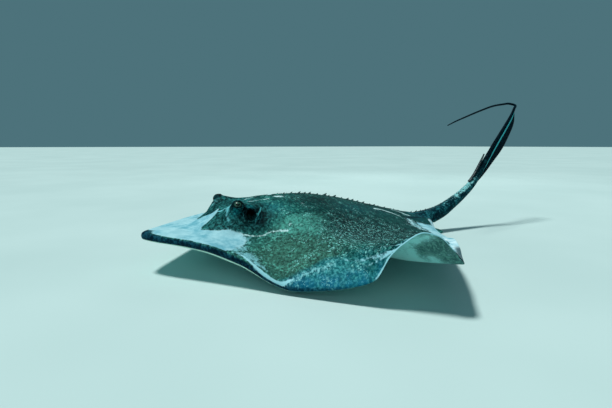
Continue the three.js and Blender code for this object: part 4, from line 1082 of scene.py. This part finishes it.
eye_mat = eye_material()
for s, name in ((1, "eye_left"), (-1, "eye_right")):
    P_, F_, loc = eye_mesh(s)
    ob = make_object("eyeball_" + ("left" if s == 1 else "right"), *oriented(P_, F_))
    x, y, d = loc.T
    r = np.hypot(x, y)
    frontal = (d > 0).astype(float)
    attribute(ob.data, "e_iris", (1 - S(6.8, 7.5, r)) * frontal)
    attribute(ob.data, "e_ring", np.exp(-((r - 6.2) / 0.7) ** 2) * frontal)
    flap = np.exp(-((x / 2.6) ** 2)) * 3.6                       # the lobe that hangs over a ray's pupil
    attribute(ob.data, "e_pupil", (1 - S(3.6, 4.1, np.hypot(x * 0.85, y + 0.3))) * S(0.0, 0.6, (3.9 - flap) - (y + 0.6)) * frontal)
    attribute(ob.data, "e_ang", np.arctan2(y, x)); attribute(ob.data, "e_rad", r)
    ob.data.materials.append(eye_mat)
    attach(ob, "root"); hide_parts(name)

# ------------------------------------------------------------------ sting
def sting_mesh():
    A0, B0, half, thick, lift, rise = 6.8, 8.35, 5.6, 7.8, 3.2, 8.6
    n = 420
    rows, grooves = [], []
    for qv in np.linspace(0, 1, n):
        i = row_to_index(A0 + (B0 - A0) * qv)
        w0 = half * (1 - 0.60 * qv ** 3)
        saw = (qv * 17) % 1.0
        on = S(0.12, 0.22, qv) * (1 - S(0.97, 1.0, qv))
        wd = w0 * (1 - 0.24 * on * saw ** 1.3)
        hgt = TB[i] + lift + rise * qv * qv
        tk = thick * (1 - 0.30 * qv * qv)
        if qv > 0.985:
            wd *= 1 - (qv - 0.985) / 0.018; tk *= 1 - (qv - 0.985) / 0.018
        ring = []
        for ph in 2 * math.pi * np.arange(28) / 28:
            cx, cy = math.cos(ph), math.sin(ph)
            x = wd * np.sign(cx) * abs(cx) ** 1.1
            y = tk * 0.5 * cy * (1 - 0.24 * math.exp(-((x / (0.22 * half)) ** 2))) * (1 - 0.15 * abs(cx))
            ring.append(TC[i] + TS[i] * x + TBK[i] * (hgt + y))
        rows.append(ring); grooves.append(qv)
    P_, F_ = tube(np.array(rows))
    return P_, F_, np.concatenate([np.repeat(grooves, 28), [0, 1]])


P_, F_, run = sting_mesh()
sting = make_object("sting", *oriented(P_, F_))
attribute(sting.data, "s_run", run)
m = Nodes("sting_horn")
grain = m.noise(1.0, 4.0, 0.6, m.scaled(900, 900, 120))
col = m.mix(lin(2, 16, 24), lin(22, 58, 66), m.smooth(grain, 0.36, 0.70))
col = m.mix(col, lin(96, 136, 128), m.mul(m.smooth(m.attr("s_run"), 0.55, 1.0), 0.06))
sting.data.materials.append(m.finish(col, m.smooth(grain, 0.3, 0.7, 0.30, 0.48), m.bump(grain, 0.0003, 0.5), specular=0.5, coat=0.15, coat_rough=0.2))
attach(sting, "root"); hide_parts("tail_spine")


# ------------------------------------------------------------------ thorns of the ridge and the tail
def thorn(origin, along, outw, sidew, high, long_, wide, n=16, k=9):
    rows = []
    for h in np.linspace(0, 1, k):
        grow = (1 - h) ** 0.75
        c = origin + outw * (high * (h ** 0.9) - 1.4 * (1 - h)) + along * (long_ * (0.42 * h + 0.18 * h * h))
        ph = 2 * math.pi * np.arange(n) / n
        a_ = long_ * 0.55 * grow * np.where(np.cos(ph) > 0, 0.75, 1.1)
        rows.append(c + np.outer(np.cos(ph) * a_, along) + np.outer(np.sin(ph) * wide * 0.5 * grow, sidew))
    rows[-1] = rows[-1] * 0.12 + rows[-1].mean(0) * 0.88
    return tube(np.array(rows))


def surface_point(uu, vv):
    t = float(disc_at(uu, vv)[0]); tu = float(disc_at(uu + 1, vv)[0]); tv = float(disc_at(uu, vv + 1)[0])
    al = np.array([1.0, 0, tu - t]); al /= np.linalg.norm(al)
    ac = np.array([0, 1.0, tv - t]); ac /= np.linalg.norm(ac)
    out_ = np.cross(al, ac)
    out_ *= np.sign(out_[2]); out_ /= np.linalg.norm(out_)
    return np.array([uu, vv, t]), al, out_, ac


parts, level = [], []
grow = lambda i: 0.8 + 0.25 * ((i * 7) % 5) / 4
for i in range(22):
    uu = 318 + (712 - 318) * i / 21 + 3.2 * math.sin(i * 4.7)
    g = grow(i) * (0.55 + 0.45 * float(S(0, 3, i))) * (1 - 0.35 * float(S(11, 21, i))) * (0.82 + 0.18 * math.sin(i * 2.9))
    o, al, ou, ac = surface_point(uu, 1.6 * math.sin(i * 2.1))
    parts.append(thorn(o + ou * 1.0, al, ou, ac, 6.4 * g, 12.0 * g, 6.4 * g))
    for sgn in (-1, 1):                                     # small ones beside the row
        for j in range(2):
            o2, al2, ou2, ac2 = surface_point(uu + 7 * math.sin(i * 1.7 + j * 3 + sgn), sgn * (7 + 5.5 * j + 2.0 * math.sin(i * 3.1 + j)))
            parts.append(thorn(o2 + ou2 * 0.4, al2, ou2, ac2, 1.7 + 0.7 * ((i * 3 + j) % 3) / 2, 3.4, 2.0, 10, 6))
for i in range(46):                                         # shoulders
    for sgn in (-1, 1):
        uu = 300 + 9.1 * i + 5 * math.sin(i * 5.3 + sgn); vv = sgn * (22 + 11 * abs(math.sin(i * 2.7 + sgn)))
        o2, al2, ou2, ac2 = surface_point(uu, vv)
        parts.append(thorn(o2 + ou2 * 0.3, al2, ou2, ac2, 1.1, 2.6, 1.6, 8, 5))
for i in range(11):
    rw = 0.5 + (5.6 - 0.5) * i / 10
    k_ = row_to_index(rw)
    g = grow(i) * (1 - 0.03 * i)
    parts.append(thorn(TC[k_] + TBK[k_] * (TB[k_] + 0.6), TT[k_], TBK[k_], TS[k_], 4.6 * g, 9.5 * g, 4.4 * g))
for i in range(150):                                        # prickles over the tail's sides
    rw = 0.4 + 9.0 * ((i * 0.6180339) % 1.0)
    th_ = math.pi / 2 + 2.2 * (((i * 0.7548777) % 1.0) - 0.5) * 2
    k_ = row_to_index(rw)
    ou = TS[k_] * math.cos(th_) + TBK[k_] * math.sin(th_)
    o = TC[k_] + TS[k_] * math.cos(th_) * TA[k_] + TBK[k_] * math.sin(th_) * TB[k_]
    if o[2] < disc_at(min(o[0], 839), o[1])[0] + 1 and o[0] < 842:
        continue
    sd = np.cross(TT[k_], ou)
    parts.append(thorn(o + ou * 0.2, TT[k_], ou, sd, 1.3 - 0.06 * rw, 2.8, 1.7, 8, 5))
pts, quads, tris, base_n = [], [], [], 0
for P__, F__ in parts:
    Q_, FF = oriented(P__, F__)
    pts.append(Q_); quads.append(FF[0] + base_n); tris.append(FF[1] + base_n); base_n += len(Q_)
thorns = make_object("thorns", np.concatenate(pts), [np.concatenate(quads), np.concatenate(tris)])
m = Nodes("thorn_horn")
grain = m.noise(520.0, 3.0)
col = m.mix(lin(8, 40, 44), lin(60, 116, 114), m.smooth(grain, 0.40, 0.72))
thorns.data.materials.append(m.finish(col, m.smooth(grain, 0.3, 0.7, 0.36, 0.52), m.bump(grain, 0.0003, 0.5), specular=0.45))
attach(thorns, "root")


# ------------------------------------------------------------------ stand
def paint_material():
    m = Nodes("stand_satin_paint")
    n1, n2 = m.noise(9.0, 3.0), m.noise(700.0, 2.0)
    col = m.mix(lin(46, 54, 58), lin(58, 67, 71), m.smooth(n1, 0.35, 0.65))
    col = m.mix(col, lin(74, 83, 86), m.mul(m.smooth(m.noise(60.0, 4.0, 0.7), 0.60, 0.74), 0.25))
    return m.finish(col, m.smooth(n2, 0.3, 0.7, 0.42, 0.54), m.bump(n2, 0.0002, 0.35), specular=0.45)


def steel_material():
    m = Nodes("stand_brushed_steel")
    brush = m.noise(1.0, 3.0, 0.6, m.scaled(60, 60, 2600))
    col = m.mix(lin(150, 156, 158), lin(186, 192, 194), m.smooth(brush, 0.36, 0.66))
    return m.finish(col, m.smooth(brush, 0.3, 0.7, 0.24, 0.38), m.bump(brush, 0.0001, 0.4), metallic=1.0, specular=0.5)


paint, steel = paint_material(), steel_material()


def plate(lo, hi, corner, edge_r):
    cx, cy = (lo[0] + hi[0]) / 2, (lo[1] + hi[1]) / 2
    hx, hy = (hi[0] - lo[0]) / 2, (hi[1] - lo[1]) / 2
    rings = []
    prof = [(-edge_r * 0.6, lo[2])] + [(-0.0008 * (1 - t), lo[2] + 0.0008 * t) for t in np.linspace(0, 1, 4)]
    prof += [(-edge_r * (1 - math.cos(t)), hi[2] - edge_r + edge_r * math.sin(t)) for t in np.linspace(0, math.pi / 2, 9)]
    prof += [(-edge_r - 0.004, hi[2]), (-edge_r - 0.006, hi[2] - 0.0006), (-edge_r - 0.010, hi[2] - 0.0006)]
    n = 16
    for inset, zz in prof:
        r_ = max(corner + inset, 0.001)
        ring = []
        for qx, qy, a0 in ((1, 1, 0), (-1, 1, 1), (-1, -1, 2), (1, -1, 3)):
            ox, oy = cx + qx * (hx + inset - r_), cy + qy * (hy + inset - r_)
            for j in range(n):
                an = (a0 + j / (n - 1)) * math.pi / 2
                ring.append((ox + r_ * math.cos(an), oy + r_ * math.sin(an), zz))
        rings.append(ring)
    return tube(np.array(rings))


def as_object(name, P_, F_):
    vol = 0.0
    for f in F_:
        a_, b_, c_ = P_[f[:, 0]], P_[f[:, 1]], P_[f[:, 2]]
        vol += np.einsum("ij,ij->i", a_, np.cross(b_, c_)).sum()
        if f.shape[1] == 4:
            vol += np.einsum("ij,ij->i", a_, np.cross(c_, P_[f[:, 3]])).sum()
    return make_object(name, P_, F_ if vol > 0 else [f[:, ::-1] for f in F_])


lo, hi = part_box("stand_base")
base_plate = as_object("stand_plate", *plate(lo, hi, 0.014, 0.0022))
base_plate.data.materials.append(paint)
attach(base_plate, "root"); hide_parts("stand_base")
for node, name in (("stand_rod_front", "stand_post_front"), ("stand_rod_rear", "stand_post_rear")):
    lo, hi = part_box(node)
    cx, cy, r0 = (lo[0] + hi[0]) / 2, (lo[1] + hi[1]) / 2, (hi[0] - lo[0]) / 2
    z0_, z1_ = lo[2], hi[2]
    prof = [(r0 * 1.9, z0_), (r0 * 2.0, z0_ + 0.0006), (r0 * 2.0, z0_ + 0.0032), (r0 * 1.85, z0_ + 0.0040), (r0 * 1.25, z0_ + 0.0046),
            (r0 * 1.06, z0_ + 0.0056), (r0 * 1.0, z0_ + 0.0070)]
    prof += [(r0, z0_ + 0.0070 + (z1_ - z0_ - 0.0175) * t) for t in np.linspace(0.1, 1, 8)]
    prof += [(r0 * 1.05, z1_ - 0.0095), (r0 * 1.5, z1_ - 0.0060), (r0 * 1.8, z1_ - 0.0035), (r0 * 1.85, z1_ - 0.0024), (r0 * 1.75, z1_ - 0.0018), (r0 * 0.9, z1_ - 0.0018)]
    ph = 2 * math.pi * np.arange(56) / 56
    rings = [np.stack([cx + r_ * np.cos(ph), cy + r_ * np.sin(ph), np.full(56, zz)], -1) for r_, zz in prof]
    ob = as_object(name, *tube(np.array(rings)))
    ob.data.materials.append(steel)
    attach(ob, "root"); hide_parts(node)

# ------------------------------------------------------------------ floor, light, camera
def grid_plane(name, x0, x1, y0, y1, z_, n):
    xs, ys = np.linspace(x0, x1, n), np.linspace(y0, y1, n)
    gx, gy = np.meshgrid(xs, ys, indexing="ij")
    P_ = np.stack([gx.ravel(), gy.ravel(), np.full(n * n, z_)], -1)
    i_ = np.arange(n * n).reshape(n, n)
    f_ = np.stack([i_[:-1, :-1], i_[1:, :-1], i_[1:, 1:], i_[:-1, 1:]], -1).reshape(-1, 4)
    return make_object(name, P_, f_)


floor = grid_plane("floor", -60, 60, -60, 60, 0.0, 9)
m = Nodes("floor_pale")
nf = m.noise(1.2, 3.0)
floor.data.materials.append(m.finish(m.mix(lin(184, 210, 208), lin(192, 217, 215), m.smooth(nf, 0.3, 0.7)), m.smooth(nf, 0.3, 0.7, 0.85, 0.92), specular=0.2))
floor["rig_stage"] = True

world = bpy.data.worlds.new("studio")
bpy.context.scene.world = world
world.use_nodes = True
bg = world.node_tree.nodes["Background"]
bg.inputs["Color"].default_value = lin(132, 192, 206)
bg.inputs["Strength"].default_value = 0.32


def area(name, at, to, size, power, colour=(1, 1, 1)):
    L = bpy.data.lights.new(name, "AREA")
    L.shape, L.size, L.size_y, L.energy, L.color = "RECTANGLE", size[0], size[1], power, colour
    o = bpy.data.objects.new(name, L)
    bpy.context.scene.collection.objects.link(o)
    o.location = at
    o.rotation_euler = (Vector(to) - Vector(at)).to_track_quat("-Z", "Y").to_euler()
    return o


sun = bpy.data.lights.new("key", "SUN")
sun.energy, sun.angle, sun.color = 2.95, math.radians(10), (1.0, 1.0, 0.98)
key = bpy.data.objects.new("key", sun)
bpy.context.scene.collection.objects.link(key)
key.location = (-0.4, -0.6, 2.5)
key.rotation_euler = Vector((0.15, 0.27, -0.95)).to_track_quat("-Z", "Y").to_euler()
area("fill", (2.2, -1.7, 1.3), (0.0, -0.1, 0.1), (1.8, 1.2), 5, (0.93, 0.98, 1.0))
area("back", (-1.8, 1.6, 1.5), (0.0, 0.1, 0.1), (1.6, 1.0), 6, (0.95, 1.0, 1.0))

cam_data = bpy.data.cameras.new("camera")
cam = bpy.data.objects.new("camera", cam_data)
bpy.context.scene.collection.objects.link(cam)
cam.location = (0.9061 + X0, Y0 - 0.1092, 0.267 + LIFT / 1000)
yaw, pitch = math.radians(29.3), math.radians(8.23)
d = Vector((-math.cos(yaw) * math.cos(pitch), math.sin(yaw) * math.cos(pitch), -math.sin(pitch)))
cam.rotation_euler = d.to_track_quat("-Z", "Y").to_euler()
cam_data.sensor_width, cam_data.lens = 36.0, 24.0
cam_data.clip_start, cam_data.clip_end = 0.01, 200
bpy.context.scene.camera = cam
bpy.context.scene.view_settings.view_transform = "Standard"

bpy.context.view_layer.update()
tri_count = sum(len(p.vertices) - 2 for o in bpy.data.objects if o.type == "MESH" and not o.hide_render and not o.get("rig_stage") for p in o.data.polygons)
print("triangles", tri_count)
